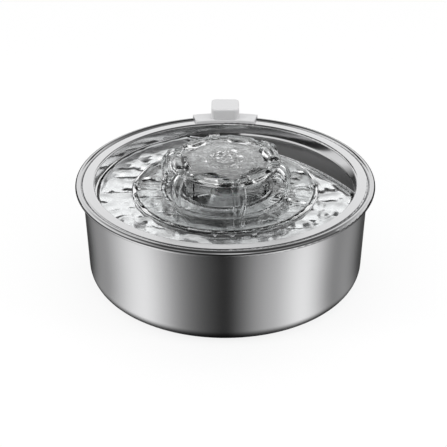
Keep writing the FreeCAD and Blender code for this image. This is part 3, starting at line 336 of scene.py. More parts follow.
def speckled(name, low, high, size_mm, roughness, ior=1.5, depth_mm=0.05, detail=4.0, metallic=0.0):
    """A finish whose colour varies in small spots between two tones."""
    material, tree, shader = new_material(name, roughness=roughness, ior=ior, metallic=metallic)
    spots = pattern_on_piece(tree, size_mm, detail)
    tones = add_node(tree, "ShaderNodeValToRGB", {"Fac": spots})
    tones.color_ramp.elements[0].position = 0.35
    tones.color_ramp.elements[0].color = linear(low)
    tones.color_ramp.elements[1].position = 0.65
    tones.color_ramp.elements[1].color = linear(high)
    tree.links.new(tones.outputs["Color"], shader.inputs["Base Color"])
    texture_surface(tree, shader, spots, None, depth_mm, 0.8)
    return material


steel_bowl = brushed_stainless()
steel_tray = polished_stainless()
acrylic = clear_acrylic()
water = running_water()
bubbly_water = aerated_water()
silicone = cast_silicone()
# Light grey ABS: a satin face with a broad, soft highlight, like the clip in the photograph
clip_plastic = moulded_plastic("light_grey_abs", "#d2d2d3", 0.42)
# White polypropylene: slightly warm and waxy, with a soft sheen
case_plastic = moulded_plastic("white_polypropylene", "#e6e6e4", 0.4)
# Black ABS: near black, with a grey sheen on its rounded edges
pump_plastic = moulded_plastic("black_moulded_abs", "#1b1b1d", 0.38)
# Vulcanised rubber is dull, with a bloom of lighter specks
rubber = speckled("black_nitrile_rubber", "#151516", "#262628", 1.2, 0.62, 1.52, 0.02)
# Reticulated foam is all edges and holes: its grey has darker spots, which the same pattern sinks, as painted
# shade in its pores
foam_grey_pore_shade = speckled("open_cell_foam", "#1d2021", "#4a4e50", 1.1, 0.95, 1.5, 0.7)
# Needled polyester has no weave, only matted threads that shine a little
fleece_white = speckled("needled_polyester_fleece", "#d9d9d6", "#f4f4f2", 0.8, 0.95, 1.5, 0.25)
# Activated carbon is crushed coconut shell: matt black grains with a few grey faces
carbon_black = speckled("activated_carbon_grains", "#0b0b0b", "#2e2e2e", 1.6, 0.7, 1.5, 0.8)
# Ground alumina is ivory white, dense and smooth, with a small bright highlight
ceramic = speckled("ground_alumina_ceramic", "#e9e7e0", "#f3f2ed", 0.9, 0.22, 1.7, 0.005)
# Sintered ferrite is charcoal grey and dull, with fine dark pores
ferrite = speckled("sintered_ferrite", "#262425", "#35322f", 0.7, 0.55, 1.6, 0.01)
# Punched sheets of electrical steel, stacked: a grey metal with fine lighter and darker lines
lamination = speckled("stacked_electrical_steel", "#6a6a6c", "#8f8f92", 0.5, 0.4, 1.5, 0.02, 2.0, 1.0)
# Copper wire under clear enamel: red brown and shiny
copper = speckled("enamelled_copper_wire", "#8a3d1c", "#b5602f", 0.6, 0.3, 1.5, 0.05, 2.0, 1.0)

NODE_FINISH = {
    "reservoir_bowl": steel_bowl,
    "drinking_tray": steel_tray,
    "tray_grommet": silicone,
    "flower_base": acrylic,
    "flower_drum": acrylic,
    "riser_tube": acrylic,
    "flower_cap": acrylic,
    "flower_nozzle": acrylic,
    "clip_band": clip_plastic,
    "clip_block": clip_plastic,
    "suction_cups": silicone,
    "pump_case": case_plastic,
    "filter_holder": case_plastic,
    "filter_pad": fleece_white,
    "filter_granules": carbon_black,
    "filter_grille": case_plastic,
    "foam_block": foam_grey_pore_shade,
    "pump_housing": pump_plastic,
    "pump_front_cover": pump_plastic,
    "pump_seal": rubber,
    "flow_dial": pump_plastic,
    "rotor_shaft": ceramic,
    "rear_bush": rubber,
    "front_bush": rubber,
    "impeller": case_plastic,
    "rotor_magnet": ferrite,
    "stator_core": lamination,
    "stator_coil": copper,
    "pump_back_cover": pump_plastic,
    "cord_gland": rubber,
    "outlet_tube": case_plastic,
}
for node_name, finish in NODE_FINISH.items():
    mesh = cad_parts[node_name].data
    mesh.materials.clear()
    mesh.materials.append(finish)


# Modelling helpers

def finished(name, shape, material, body, smooth=True):
    """Make an object of a bmesh, with its place in its mesh, and let it ride on a body."""
    mesh = bpy.data.meshes.new(name)
    shape.to_mesh(mesh)
    shape.free()
    for face in mesh.polygons:
        face.use_smooth = smooth
    mesh.materials.append(material)
    piece = bpy.data.objects.new(name, mesh)
    bpy.context.scene.collection.objects.link(piece)
    if body:
        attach(piece, body)
    return piece


def turned_sheet(near, far, rings, steps):
    """A flat ring of fine quads about the fountain's axis, between two radii in millimetres."""
    shape = bmesh.new()
    inner = shape.verts.new((near * MM, 0, 0))
    outer = shape.verts.new((far * MM, 0, 0))
    spoke = shape.edges.new((inner, outer))
    bmesh.ops.subdivide_edges(shape, edges=[spoke], cuts=rings - 1)
    bmesh.ops.spin(shape, geom=shape.verts[:] + shape.edges[:], axis=(0, 0, 1), cent=(0, 0, 0),
                   angle=FULL_TURN, steps=steps, use_merge=True)
    return shape


def thickened(shape, top, underside):
    """Close a flat sheet into a solid: its faces go to the height top(x, y), a copy goes to underside(x, y)."""
    upper = shape.verts[:]
    sheet = bmesh.ops.extrude_face_region(shape, geom=shape.faces[:], use_keep_orig=True)
    lower = [part for part in sheet["geom"] if isinstance(part, bmesh.types.BMVert)]
    for verts, height in ((upper, top), (lower, underside)):
        for vert in verts:
            x, y = vert.co.x / MM, vert.co.y / MM
            vert.co.z = height(x, y) * MM
    bmesh.ops.recalc_face_normals(shape, faces=shape.faces[:])
    # A thin, flat solid can come out of that inside out, and water inside out would look like a mirror
    if shape.calc_volume(signed=True) < 0:
        bmesh.ops.reverse_faces(shape, faces=shape.faces[:])


def smooth_step(value, low, high):
    """0 below low, 1 above high and an even curve between them."""
    share = min(max((value - low) / (high - low), 0.0), 1.0)
    return share * share * (3 - 2 * share)


def swell(x, y, size_mm, seed=0.0):
    """Smooth random height from -1 to 1 whose humps are about size_mm long."""
    return noise.noise(Vector((x / size_mm, y / size_mm, seed)))


# Flower

def from_nearest(azimuth, first):
    """Degrees from the nearest of six directions, of which the first is given."""
    return (azimuth - first + PETAL_STEP / 2) % PETAL_STEP - PETAL_STEP / 2


def cap_edge_rounding(radius):
    """How far the round outer edge of the cap draws its face back."""
    edge = max(radius - (CAP_RADIUS - CAP_EDGE_ROUND), 0.0) / CAP_EDGE_ROUND
    return CAP_EDGE_ROUND * (1 - math.sqrt(max(1 - edge * edge, 0.0)))


def petal_height(along, across):
    """Height of one petal, as a pillow with a broad round crest that falls to the rim; along runs outwards."""
    round_side = PETAL_ROUND - math.hypot(along - PETAL_CENTRE, across)
    depth = min(PETAL_FAR - along, PETAL_HALF_WIDTH - abs(across), round_side)
    if depth <= 0:
        return 0.0
    share = min(depth / PETAL_SOFTNESS, 1.0)
    pillow = math.sqrt(1 - (1 - share) ** 2)
    fall = (along - PETAL_NEAR) / (PETAL_FAR - PETAL_NEAR)
    crest = PETAL_CREST + (PETAL_EDGE - PETAL_CREST) * fall
    return pillow * (crest - CAP_RIM_TOP + 0.6)


def cap_top(x, y):
    """Height of the cap's face: dish, rim with a channel at each gap, and petals."""
    radius = math.hypot(x, y)
    azimuth = math.degrees(math.atan2(y, x))
    gap = from_nearest(azimuth, SPOUT_AZIMUTH)
    sideways = abs(radius * math.sin(math.radians(gap)))
    rim = CAP_DISH + (CAP_RIM_TOP - CAP_DISH) * smooth_step(radius, 34.6, 37.4)
    channel = CHANNEL_DEPTH * (1 - smooth_step(sideways, 2.6, 4.6)) * smooth_step(radius, 33.5, 36)
    petal = from_nearest(azimuth, PETAL_AZIMUTH)
    along = radius * math.cos(math.radians(petal))
    across = radius * math.sin(math.radians(petal))
    return rim - channel - cap_edge_rounding(radius) + petal_height(along, across)


def cap_underside(x, y):
    """Height of the cap's underside: flat over the drum, a locating ring inside it and a round outer edge."""
    radius = math.hypot(x, y)
    lip = 0.5 * smooth_step(radius, 32.9, 34.2)
    # Between radii of 28 and 29.5 mm
    ring = LOCATING_RING_DEPTH * smooth_step(radius, 27.8, 28.0) * (1 - smooth_step(radius, 29.5, 29.7))
    return DRUM_TOP - lip + cap_edge_rounding(radius) - ring


def flower_cap():
    """Clear cap of one moulding, with pillow-shaped petals."""
    shape = turned_sheet(6.45, CAP_RADIUS, 110, 240)
    thickened(shape, cap_top, cap_underside)
    cap = finished("flower_cap_moulding", shape, acrylic, "flower_head")
    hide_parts("flower_cap")


def flower_base():
    """The clear base as it is, but for a hair of room over the tray's floor, so that light can leave its
    underside and come back from the steel."""
    shape = bmesh.new()
    shape.from_mesh(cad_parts["flower_base"].data)
    bmesh.ops.remove_doubles(shape, verts=shape.verts[:], dist=0.001 * MM)
    for vert in shape.verts:
        if vert.co.z < (TRAY_FLOOR + 0.01) * MM:
            vert.co.z += HAIR_OF_ROOM * MM
    base = finished("flower_base_moulding", shape, acrylic, "flower_stand")
    base.data.set_sharp_from_angle(angle=math.radians(25))
    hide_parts("flower_base")


# Water

def stream_landing(number):
    """Where a stream meets the water in the tray."""
    azimuth = math.radians(SPOUT_AZIMUTH + number * 360 / PETALS)
    return STREAM_REACH * math.cos(azimuth), STREAM_REACH * math.sin(azimuth)


def ripple(x, y):
    """Rings that spread from where the streams land, and small random waves."""
    height = 0.0
    for number in range(PETALS):
        centre = stream_landing(number)
        distance = math.hypot(x - centre[0], y - centre[1])
        if distance > 45:
            continue
        fade = math.exp(-distance / RING_FADE)
        bent = distance + 2.6 * swell(x, y, 9, number)
        height += 0.2 * fade * math.cos(bent / RING_SPACING * FULL_TURN + number)
        if distance < 10:
            height += math.exp(-(distance / SPLASH_RADIUS) ** 2) * (1 + 1.4 * swell(x, y, 2.5, number))
    radius = max(math.hypot(x, y), 1.0)
    # The stream runs outwards, so its waves are longer across it than along it
    along, across = radius / 7.5, math.atan2(y, x) * 9
    flowing = 0.7 * noise.noise(Vector((along, across, 3.0)))
    return height + (flowing + 0.95 * swell(x, y, 12) + 0.34 * swell(x, y, 5.4, 5))


def calm(x, y):
    """1 where the water is rough, less in the quiet part before the flower."""
    front = smooth_step(-y, 30, 46) * (1 - smooth_step(math.hypot(x, y), 64, 70))
    return 1 - 0.75 * front * (1 - smooth_step(abs(x + 5), 24, 34))


def pool_top(x, y):
    """Water level: a little higher on the flower's base, and lifted where it runs over the return opening."""
    radius = math.hypot(x, y)
    level = POOL_INSIDE + (POOL_OUTSIDE - POOL_INSIDE) * smooth_step(radius, 68.2, 71.2)
    centre = math.radians(WEIR_AZIMUTH)
    to_weir = WEIR_RADIUS - math.hypot(x - WEIR_CENTRE * math.cos(centre), y - WEIR_CENTRE * math.sin(centre))
    level += (WEIR_TOP + 0.3 - level) * (1 - smooth_step(to_weir, 0.8, 6.0))
    edges = smooth_step(radius, 36, 39) * (1 - smooth_step(radius, 94, 97.5)) * smooth_step(to_weir, 1, 9)
    return level + ripple(x, y) * calm(x, y) * (0.1 + 0.9 * edges)


def pool_underside(x, y):
    """What the water lies on: the flower's base with its rings, the tray's floor and the round to its wall."""
    radius = math.hypot(x, y)
    # The inner ring is 46 to 48 mm from the axis, the outer one starts at 68 mm
    base = BASE_TOP + BASE_RING_RISE * smooth_step(radius, 45.2, 46.2) * (1 - smooth_step(radius, 47.8, 48.8))
    base += BASE_RING_RISE * smooth_step(radius, 66.4, 68.2)
    floor = TRAY_FLOOR + 3.4 * smooth_step(radius, 94.2, 98.2) ** 2
    return base + (floor - base) * smooth_step(radius, 70.0, 70.25) + 0.06


def water_pool():
    """Water round the flower and in the tray, held by the tray's wall and the return opening."""
    shape = turned_sheet(POOL_NEAR, POOL_FAR, 110, 360)
    centre = math.radians(WEIR_AZIMUTH)
    for vert in shape.verts:
        radius = vert.co.length / MM
        angle = math.atan2(vert.co.y, vert.co.x) - centre
        reach = WEIR_RADIUS - 0.75
        across = WEIR_CENTRE * math.sin(angle)
        limit = WEIR_CENTRE * math.cos(angle) + math.sqrt(reach ** 2 - across ** 2)
        limit = min(POOL_FAR, limit)
        share = (radius - POOL_NEAR) / (POOL_FAR - POOL_NEAR)
        vert.co = vert.co.normalized() * (POOL_NEAR + share * (limit - POOL_NEAR)) * MM
    thickened(shape, pool_top, pool_underside)
    finished("water_pool", shape, water, "tray")


def dish_top(x, y):
    """Water on the cap: a film that wells up in the middle and runs out through the spouts."""
    radius = math.hypot(x, y)
    dome = DOME_HEIGHT * math.exp(-(radius / DOME_RADIUS) ** 2)
    film = 0.85 + 0.42 * swell(x, y, 6.5, 2) + 0.1 * swell(x, y, 3, 7)
    boil = 2.5 * math.exp(-((radius - 7) / 10) ** 2) * (swell(x, y, 5.2, 3) + 0.25 * swell(x, y, 2.4, 4))
    return CAP_DISH + 0.35 + dome + film + boil


def dish_underside(x, y):
    """The cap's dish and the nozzle's head, with a hair of room."""
    radius = math.hypot(x, y)
    return CAP_DISH + HAIR_OF_ROOM + NOZZLE_RISE * (1 - smooth_step(radius, 9.6, 10.2))


def water_dome():
    """Water that bubbles up over the nozzle and covers the cap's dish as far as the petals."""
    shape = turned_sheet(0.4, 34.4, 90, 180)
    hub = [vert for vert in shape.verts if vert.co.length < 0.5 * MM]
    bmesh.ops.pointmerge(shape, verts=hub, merge_co=(0, 0, 0))
    for vert in shape.verts:
        azimuth = math.degrees(math.atan2(vert.co.y, vert.co.x))
        petal = abs(from_nearest(azimuth, PETAL_AZIMUTH))
        limit = 28.2 + 6.2 * smooth_step(petal, 18, 25)
        radius = vert.co.length / MM
        if radius > 20:
            vert.co = vert.co.normalized() * (20 + (radius - 20) * (limit - 20) / 14.4) * MM
    thickened(shape, dish_top, dish_underside)
    finished("water_dome", shape, bubbly_water, "flower_head")


def stream_point(share, side, number):
    """A point on a stream's middle surface: out along the channel, over the rim and down in a bow."""
    azimuth = math.radians(SPOUT_AZIMUTH + number * 360 / PETALS)
    lift = 0.35 * swell(number * 3.0, share * 4.0, 1.0, 9)
    if share < 0.2:
        out = STREAM_START + (CAP_RADIUS + STREAM_CLEARANCE - STREAM_START) * share / 0.2
        height = CAP_RIM_TOP - STREAM_DROP
    else:
        fall = (share - 0.2) / 0.8
        reach = STREAM_REACH - CAP_RADIUS - STREAM_CLEARANCE
        bow = STREAM_BOW * math.sin(fall * math.pi) ** 0.8
        out = CAP_RADIUS + STREAM_CLEARANCE + reach * math.sin(fall * math.pi / 2) + bow
        height = CAP_RIM_TOP - STREAM_DROP - (CAP_RIM_TOP - POOL_INSIDE + 0.2) * fall ** 1.5
    width = STREAM_HALF_WIDTH * (0.72 + 0.34 * math.sin(share * math.pi)) * (1 + 0.15 * lift)
    sideways = side * width
    out -= 1.6 * (side * side) * share
    return Vector((out * math.cos(azimuth) - sideways * math.sin(azimuth),
                   out * math.sin(azimuth) + sideways * math.cos(azimuth), height + 0.15 * lift)) * MM


def water_streams():
    """Six clear sheets of water with thick round edges, from the spouts to the pool."""
    shape = bmesh.new()
    edge_weight = []
    for number in range(PETALS):
        grid = bmesh.ops.create_grid(shape, x_segments=36, y_segments=14, size=1)
        for vert in grid["verts"]:
            share = (vert.co.x + 1) / 2
            side = vert.co.y
            edge_weight.append(0.35 + 0.65 * side * side)
            vert.co = stream_point(share, side, number)
    bmesh.ops.recalc_face_normals(shape, faces=shape.faces[:])
    streams = finished("water_streams", shape, water, None)
    thick = streams.vertex_groups.new(name="edge_thickness")
    for index, weight in enumerate(edge_weight):
        thick.add([index], weight, "REPLACE")
    wall = streams.modifiers.new("wall", "SOLIDIFY")
    wall.thickness = STREAM_THICKNESS * MM
    wall.offset = 0
    wall.vertex_group = "edge_thickness"
    soft = streams.modifiers.new("soft", "SUBSURF")
    soft.levels = 1
    soft.render_levels = 1
    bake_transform(streams)


flower_cap()
flower_base()
water_pool()
water_dome()
water_streams()


# Filter pad and foam

def reshaped_copy(name, node, material, move):
    """A fine, even mesh in the shape of a solid, whose points move(place, normal) shifts, in millimetres. It
    stands for the solid."""
    shape = bmesh.new()
    shape.from_mesh(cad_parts[node].data)
    bmesh.ops.remove_doubles(shape, verts=shape.verts[:], dist=0.01 * MM)
    rough = finished(name + "_start", shape, material, None)
    even = rough.modifiers.new("even", "REMESH")
    even.mode = "VOXEL"
    even.voxel_size = SOFT_VOXEL * MM
    fine = bmesh.new()
    fine.from_object(rough, bpy.context.evaluated_depsgraph_get())
    bpy.data.objects.remove(rough)
    fine.normal_update()
    places = [move(vert.co / MM, vert.normal) for vert in fine.verts]
    for vert, place in zip(fine.verts, places):
        vert.co = Vector(place) * MM
    piece = finished(name, fine, material, "root")
    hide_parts(node)
    return piece


def filter_fleece():
    """Fleece pouch round the carbon: welded flat along its edge and round the outlet, full in between."""
    low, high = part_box("filter_pad")
    low, high = low / MM, high / MM
    middle = (low + high) / 2
    outlet = 10.6

    def move(place, _):
        """Thin at the welds and full between them, with matted threads and slightly drawn-in sides."""
        x, y, z = place
        inside = min(high.x - abs(x), y - low.y, high.y - y, math.hypot(x, y) - outlet)
        full = 0.34 + 0.66 * smooth_step(inside, 0.8, 3.8)
        matted = 0.09 * swell(x, y, 1.7, z) * smooth_step(inside, 0.5, 3)
        pull = 1 - 0.022 * (1 - ((y - middle.y) / (high.y - middle.y)) ** 2) * smooth_step(abs(x), 8, 23)
        return x * pull, y, middle.z + (z - middle.z) * (full - 0.02) + matted * (1 if z > middle.z else -1)

    pad = reshaped_copy("filter_fleece_pouch", "filter_pad", fleece_white, move)


def foam_strainer():
    """Cut sheet of reticulated foam, with open pores and slightly drawn-in edges."""
    low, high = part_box("foam_block")
    low, high = low / MM, high / MM
    middle = (low + high) / 2

    def move(place, normal):
        """Sunk where a pore opens, and drawn in at half height on the two narrow sides."""
        x, y, z = place
        pore = noise.noise(Vector((x / 1.5, y / 1.5, z / 1.5)))
        depth = 0.12 + 0.34 * smooth_step(pore, 0.0, 0.4)
        drawn = 0.5 * (1 - ((z - middle.z) / (high.z - middle.z)) ** 2) * (1 if x > 0 else -1)
        drawn *= smooth_step(abs(x), 15, 23)
        return x - normal.x * depth - drawn, y - normal.y * depth, z - normal.z * depth

    foam = reshaped_copy("foam_strainer", "foam_block", foam_grey_pore_shade, move)


filter_fleece()
foam_strainer()


# Studio

def floor_paper():
    """Uncoated paper: pale and matt, white to the camera, to steel and to glass, with a soft shadow on it."""
    material, tree, shader = new_material("studio_paper", base_color=linear("#f7f7f7"), roughness=0.95)
    path = add_node(tree, "ShaderNodeLightPath")
    glow = add_node(tree, "ShaderNodeEmission", {"Color": (1, 1, 1, 1), "Strength": 1.0})
    sharp = add_node(tree, "ShaderNodeMath",
                     {0: path.outputs["Is Glossy Ray"], 1: path.outputs["Is Transmission Ray"]},
                     operation="MAXIMUM")
    seen = add_node(tree, "ShaderNodeMath", {0: path.outputs["Is Camera Ray"], 1: sharp.outputs[0]},
                    operation="MAXIMUM")
    share = add_node(tree, "ShaderNodeMath", {0: seen.outputs[0], 1: PAPER_GLOW}, operation="MULTIPLY")
    both = add_node(tree, "ShaderNodeMixShader",
                    {0: share.outputs[0], 1: shader.outputs[0], 2: glow.outputs[0]})
    tree.links.new(both.outputs[0], tree.nodes["Material Output"].inputs["Surface"])
    return material


def stage_piece(name, shape, material):
    """A piece of the studio, which isn't part of the fountain."""
    piece = finished(name, shape, material, None)
    return piece


def reflected_only(piece, through_glass=False):
    """Let only polished faces, and glass if so asked, show a piece of the studio."""
    piece.visible_camera = False
    piece.visible_diffuse = False
    piece.visible_transmission = through_glass
    piece.visible_volume_scatter = False
    piece.visible_shadow = False


def studio_floor():
    """Pale floor that goes on to the horizon."""
    shape = bmesh.new()
    bmesh.ops.create_grid(shape, x_segments=1, y_segments=1, size=4)
    stage_piece("studio_floor", shape, floor_paper())


def blank_card(name):
    """An empty material for a studio card, and where on the card a point lies."""
    material = bpy.data.materials.new(name)
    material.use_nodes = True
    tree = material.node_tree
    tree.nodes.clear()
    place = add_node(tree, "ShaderNodeTexCoord").outputs["Object"]
    return material, tree, add_node(tree, "ShaderNodeSeparateXYZ", {"Vector": place})


def card_paper():
    """Black, grey and white cards round the bowl, joined edge to edge, that only polished faces show."""
    material, tree, parts = blank_card("reflection_cards")
    ahead = add_node(tree, "ShaderNodeMath", {0: parts.outputs["Y"], 1: -1.0}, operation="MULTIPLY")
    turn = add_node(tree, "ShaderNodeMath", {0: parts.outputs["X"], 1: ahead.outputs[0]}, operation="ARCTAN2")
    flat = add_node(tree, "ShaderNodeCombineXYZ", {"X": parts.outputs["X"], "Y": parts.outputs["Y"]})
    out = add_node(tree, "ShaderNodeVectorMath", {0: flat.outputs[0]}, operation="LENGTH")
    # A card further out is met by a face that is turned less, so the cards' edges bend outwards
    ratio = add_node(tree, "ShaderNodeMath", {0: CARD_STRAIGHT, 1: out.outputs["Value"]}, operation="DIVIDE")
    bend = add_node(tree, "ShaderNodeMath", {0: ratio.outputs[0], 1: CARD_BEND}, operation="POWER")
    share = add_node(tree, "ShaderNodeMath", {0: bend.outputs[0], 1: 0.5, 2: 0.5}, operation="MULTIPLY_ADD")
    facing = add_node(tree, "ShaderNodeMath", {0: turn.outputs[0], 1: share.outputs[0]}, operation="MULTIPLY")
    across = add_node(tree, "ShaderNodeMapRange",
                      {"Value": facing.outputs[0], "From Min": math.radians(-180),
                       "From Max": math.radians(180)})
    ramp = add_node(tree, "ShaderNodeValToRGB", {"Fac": across.outputs["Result"]})
    bands = ramp.color_ramp
    bands.interpolation = "B_SPLINE"
    while len(bands.elements) < len(CARD_TONES):
        bands.elements.new(0.5)
    for element, (degrees, tone) in zip(bands.elements, CARD_TONES):
        element.position = (degrees + 180) / 360
        element.color = (tone, tone, tone, 1)
    # Painted shade in the cards' glow: dark under the bowl's round corner, a painted contact shadow along the
    # bowl's foot, and dark above the cards' foot, which the wall under the rim shows as painted shade
    foot = add_node(tree, "ShaderNodeMapRange",
                    {"Value": out.outputs["Value"], "From Min": 0.103, "From Max": 0.113, "To Min": 0.08})
    head = add_node(tree, "ShaderNodeMapRange",
                    {"Value": parts.outputs["Z"], "From Min": 0.03, "From Max": 0.012, "To Min": 0.12})
    card_painted_shade = add_node(tree, "ShaderNodeMath", {0: foot.outputs["Result"], 1: head.outputs["Result"]},
                   operation="MULTIPLY")
    power = add_node(tree, "ShaderNodeMath", {0: card_painted_shade.outputs[0], 1: CARD_STRENGTH}, operation="MULTIPLY")
    glow = add_node(tree, "ShaderNodeEmission", {"Color": ramp.outputs["Color"], "Strength": power.outputs[0]})
    add_node(tree, "ShaderNodeOutputMaterial", {"Surface": glow.outputs[0]})
    return material


def card_ring(radius, low, high):
    """An upright band of card round the fountain."""
    shape = bmesh.new()
    foot = bmesh.ops.create_circle(shape, cap_ends=False, segments=96, radius=radius)["verts"]
    bmesh.ops.translate(shape, verts=foot, vec=(0, 0, low))
    edges = shape.edges[:]
    wall = bmesh.ops.extrude_edge_only(shape, edges=edges)["geom"]
    raised = [part for part in wall if isinstance(part, bmesh.types.BMVert)]
    bmesh.ops.translate(shape, verts=raised, vec=(0, 0, high - low))
    return shape, edges


def reflection_cards():
    """A low ring of cards and a disc on the floor, which only glossy rays meet."""
    shape, edges = card_ring(CARD_RADIUS, CARD_FOOT, CARD_TOP)
    bmesh.ops.contextual_create(shape, geom=edges)
    reflected_only(stage_piece("reflection_cards", shape, card_paper()))


def shade_paper(name, clear_of):
    """Black card with soft edges. clear_of gives the node socket from 1, black, to 0, clear."""
    material, tree, parts = blank_card(name)
    black = add_node(tree, "ShaderNodeEmission", {"Color": linear("#101010"), "Strength": 1.0})
    clear = add_node(tree, "ShaderNodeBsdfTransparent")
    both = add_node(tree, "ShaderNodeMixShader",
                    {0: clear_of(tree, parts), 1: clear.outputs[0], 2: black.outputs[0]})
    add_node(tree, "ShaderNodeOutputMaterial", {"Surface": both.outputs[0]})
    return material


def rear_shade():
    """A black band low behind the fountain, which draws a dark line along the back of the rim."""
    shape, _ = card_ring(REAR_SHADE_RADIUS, REAR_SHADE_FOOT, REAR_SHADE_TOP)
    in_front = [face for face in shape.faces if face.calc_center_median().y < 0.045]
    bmesh.ops.delete(shape, geom=in_front, context="FACES")

    def soft_top(tree, parts):
        """Black up to just under the band's top, where it fades."""
        return add_node(tree, "ShaderNodeMapRange",
                        {"Value": parts.outputs["Z"], "From Min": REAR_SHADE_TOP,
                         "From Max": REAR_SHADE_TOP - 0.012}).outputs["Result"]

    reflected_only(stage_piece("rear_shade", shape, shade_paper("rear_shade_card", soft_top)), True)


def flower_shade():
    """A small black card high behind the flower: the water before the flower mirrors it."""
    shape = bmesh.new()
    bmesh.ops.create_grid(shape, x_segments=1, y_segments=1, size=0.5)
    bmesh.ops.scale(shape, vec=(2 * SHADE_HALF_WIDTH, 2 * SHADE_HALF_HEIGHT, 1), verts=shape.verts[:])
    bmesh.ops.rotate(shape, cent=(0, 0, 0), verts=shape.verts[:],
                     matrix=Matrix.Rotation(math.radians(90), 3, "X"))
    bmesh.ops.translate(shape, verts=shape.verts[:], vec=(SHADE_ACROSS, SHADE_BEHIND, SHADE_HEIGHT))

    def soft_edges(tree, parts):
        """Black in the card's middle, which fades in the last fifth to each edge."""
        aside = add_node(tree, "ShaderNodeMath", {0: parts.outputs["X"], 1: SHADE_ACROSS},
                         operation="SUBTRACT")
        aside = add_node(tree, "ShaderNodeMath", {0: aside.outputs[0]}, operation="ABSOLUTE")
        above = add_node(tree, "ShaderNodeMath", {0: parts.outputs["Z"], 1: SHADE_HEIGHT},
                         operation="SUBTRACT")
        above = add_node(tree, "ShaderNodeMath", {0: above.outputs[0]}, operation="ABSOLUTE")
        sides = add_node(tree, "ShaderNodeMapRange",
                         {"Value": aside.outputs[0], "From Min": SHADE_HALF_WIDTH,
                          "From Max": SHADE_HALF_WIDTH * 0.8})
        ends = add_node(tree, "ShaderNodeMapRange",
                        {"Value": above.outputs[0], "From Min": SHADE_HALF_HEIGHT,
                         "From Max": SHADE_HALF_HEIGHT * 0.8})
        return add_node(tree, "ShaderNodeMath", {0: sides.outputs["Result"], 1: ends.outputs["Result"]},
                        operation="MULTIPLY").outputs[0]

    reflected_only(stage_piece("flower_shade", shape, shade_paper("flower_shade_card", soft_edges)), True)


def opening_glow_card():
    """A card under the return opening that glows grey, though it is no lamp: painted light, which only the steel
    over the opening mirrors and which turns the bowl's inner wall grey there.
    """
    shape = bmesh.new()
    inner = shape.verts.new((0.076, 0, OPENING_CARD_HEIGHT))
    outer = shape.verts.new((0.099, 0, OPENING_CARD_HEIGHT))
    side = shape.edges.new((inner, outer))
    start = math.radians(WEIR_AZIMUTH - 30)
    bmesh.ops.rotate(shape, cent=(0, 0, 0), verts=[inner, outer], matrix=Matrix.Rotation(start, 3, "Z"))
    bmesh.ops.spin(shape, geom=[inner, outer, side], axis=(0, 0, 1), cent=(0, 0, 0),
                   angle=math.radians(62), steps=31)
    # Its painted glow is dark at its right end, and lighter towards the clip
    material, tree, parts = blank_card("opening_painted_glow")
    tone = add_node(tree, "ShaderNodeMapRange",
                    {"Value": parts.outputs["X"], "From Min": 0.086, "From Max": 0.066,
                     "To Min": 0.03, "To Max": 0.8})
    # Painted light: the card glows with this strength, though it is no lamp
    glow = add_node(tree, "ShaderNodeEmission", {"Color": (1, 1, 1, 1), "Strength": tone.outputs["Result"]})
    add_node(tree, "ShaderNodeOutputMaterial", {"Surface": glow.outputs[0]})
    reflected_only(stage_piece("opening_glow_card", shape, material))


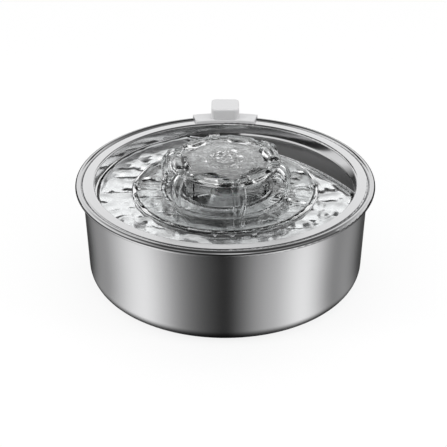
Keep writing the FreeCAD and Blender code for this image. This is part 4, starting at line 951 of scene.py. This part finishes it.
def studio_world():
    """White behind the fountain that falls off upwards, a dim front with two soft windows, and an even white
    for the matt faces."""
    world = bpy.data.worlds.new("studio_world")
    bpy.context.scene.world = world
    world.use_nodes = True
    tree = world.node_tree
    tree.nodes.clear()
    path = add_node(tree, "ShaderNodeLightPath")
    toward = add_node(tree, "ShaderNodeTexCoord").outputs["Generated"]
    parts = add_node(tree, "ShaderNodeSeparateXYZ", {"Vector": toward})
    ahead = add_node(tree, "ShaderNodeMapRange",
                     {"Value": parts.outputs["Y"], "From Min": -0.3, "From Max": 0.6})
    above = add_node(tree, "ShaderNodeMapRange",
                     {"Value": parts.outputs["Z"], "From Min": 0.95, "From Max": 0.45})
    depth = add_node(tree, "ShaderNodeMath", {0: ahead.outputs["Result"], 1: above.outputs["Result"]},
                     operation="MULTIPLY")
    room = add_node(tree, "ShaderNodeValToRGB", {"Fac": depth.outputs[0]})
    room.color_ramp.interpolation = "B_SPLINE"
    room.color_ramp.elements[0].color = linear("#1e1e1e")
    room.color_ramp.elements[1].color = linear("#f2f2f2")
    middle = room.color_ramp.elements.new(0.45)
    middle.color = linear("#747474")
    # The front is grey at the height of a window and dark above and below it
    facing = add_node(tree, "ShaderNodeMapRange",
                      {"Value": parts.outputs["Y"], "From Min": 0.1, "From Max": -0.5})
    level = add_node(tree, "ShaderNodeMath", {0: parts.outputs["Z"], 1: 0.46}, operation="SUBTRACT")
    level = add_node(tree, "ShaderNodeMath", {0: level.outputs[0]}, operation="ABSOLUTE")
    height = add_node(tree, "ShaderNodeMapRange",
                      {"Value": level.outputs[0], "From Min": 0.38, "From Max": 0.1, "To Max": FRONT_GREY})
    total = add_node(tree, "ShaderNodeMath", {0: facing.outputs["Result"], 1: height.outputs["Result"]},
                     operation="MULTIPLY").outputs[0]
    for direction, wide, narrow, strength in WINDOWS:
        close = add_node(tree, "ShaderNodeVectorMath", {0: toward, 1: direction}, operation="DOT_PRODUCT")
        window = add_node(tree, "ShaderNodeMapRange",
                          {"Value": close.outputs["Value"], "From Min": math.cos(math.radians(wide)),
                           "From Max": math.cos(math.radians(narrow)), "To Max": strength})
        total = add_node(tree, "ShaderNodeMath", {0: total, 1: window.outputs["Result"]},
                         operation="ADD").outputs[0]
    lifted = add_node(tree, "ShaderNodeMath", {0: path.outputs["Is Transmission Ray"], 1: GLASS_LIFT},
                      operation="MULTIPLY")
    least = add_node(tree, "ShaderNodeMath", {0: room.outputs["Color"], 1: lifted.outputs[0]},
                     operation="MAXIMUM")
    both = add_node(tree, "ShaderNodeMath", {0: least.outputs[0], 1: total}, operation="ADD")
    brighter = add_node(tree, "ShaderNodeMath",
                        {0: path.outputs["Is Transmission Ray"], 1: GLASS_GAIN, 2: MIRRORED_STRENGTH},
                        operation="MULTIPLY_ADD")
    mirrored = add_node(tree, "ShaderNodeBackground",
                        {"Color": both.outputs[0], "Strength": brighter.outputs[0]})
    even = add_node(tree, "ShaderNodeBackground", {"Color": (1, 1, 1, 1), "Strength": 0.92})
    white = add_node(tree, "ShaderNodeBackground", {"Color": (1, 1, 1, 1), "Strength": 1.0})
    sharp = add_node(tree, "ShaderNodeMath",
                     {0: path.outputs["Is Glossy Ray"], 1: path.outputs["Is Transmission Ray"]},
                     operation="MAXIMUM")
    light = add_node(tree, "ShaderNodeMixShader",
                     {0: sharp.outputs[0], 1: even.outputs[0], 2: mirrored.outputs[0]})
    shown = add_node(tree, "ShaderNodeMixShader",
                     {0: path.outputs["Is Camera Ray"], 1: light.outputs[0], 2: white.outputs[0]})
    add_node(tree, "ShaderNodeOutputWorld", {"Surface": shown.outputs[0]})


def softbox(name, place, aim, width, height, power):
    """A soft lamp that points at a place and shows in no reflection."""
    lamp = bpy.data.lights.new(name, "AREA")
    lamp.shape = "RECTANGLE"
    lamp.size = width
    lamp.size_y = height
    lamp.energy = power
    box = bpy.data.objects.new(name, lamp)
    box.location = place
    box.rotation_euler = (Vector(aim) - Vector(place)).to_track_quat("-Z", "Y").to_euler()
    box.visible_glossy = False
    box.visible_transmission = False
    bpy.context.scene.collection.objects.link(box)


studio_floor()
reflection_cards()
rear_shade()
flower_shade()
opening_glow_card()
studio_world()
softbox("softbox_left", (-0.9, -0.35, 0.45), SOFTBOX_AIM, 0.3, 0.7, 3)
softbox("softbox_right", (0.9, -0.35, 0.45), SOFTBOX_AIM, 0.3, 0.7, 3)
softbox("softbox_top", (0.1, 0.25, 1.3), SOFTBOX_AIM, 0.7, 0.5, 1.5)
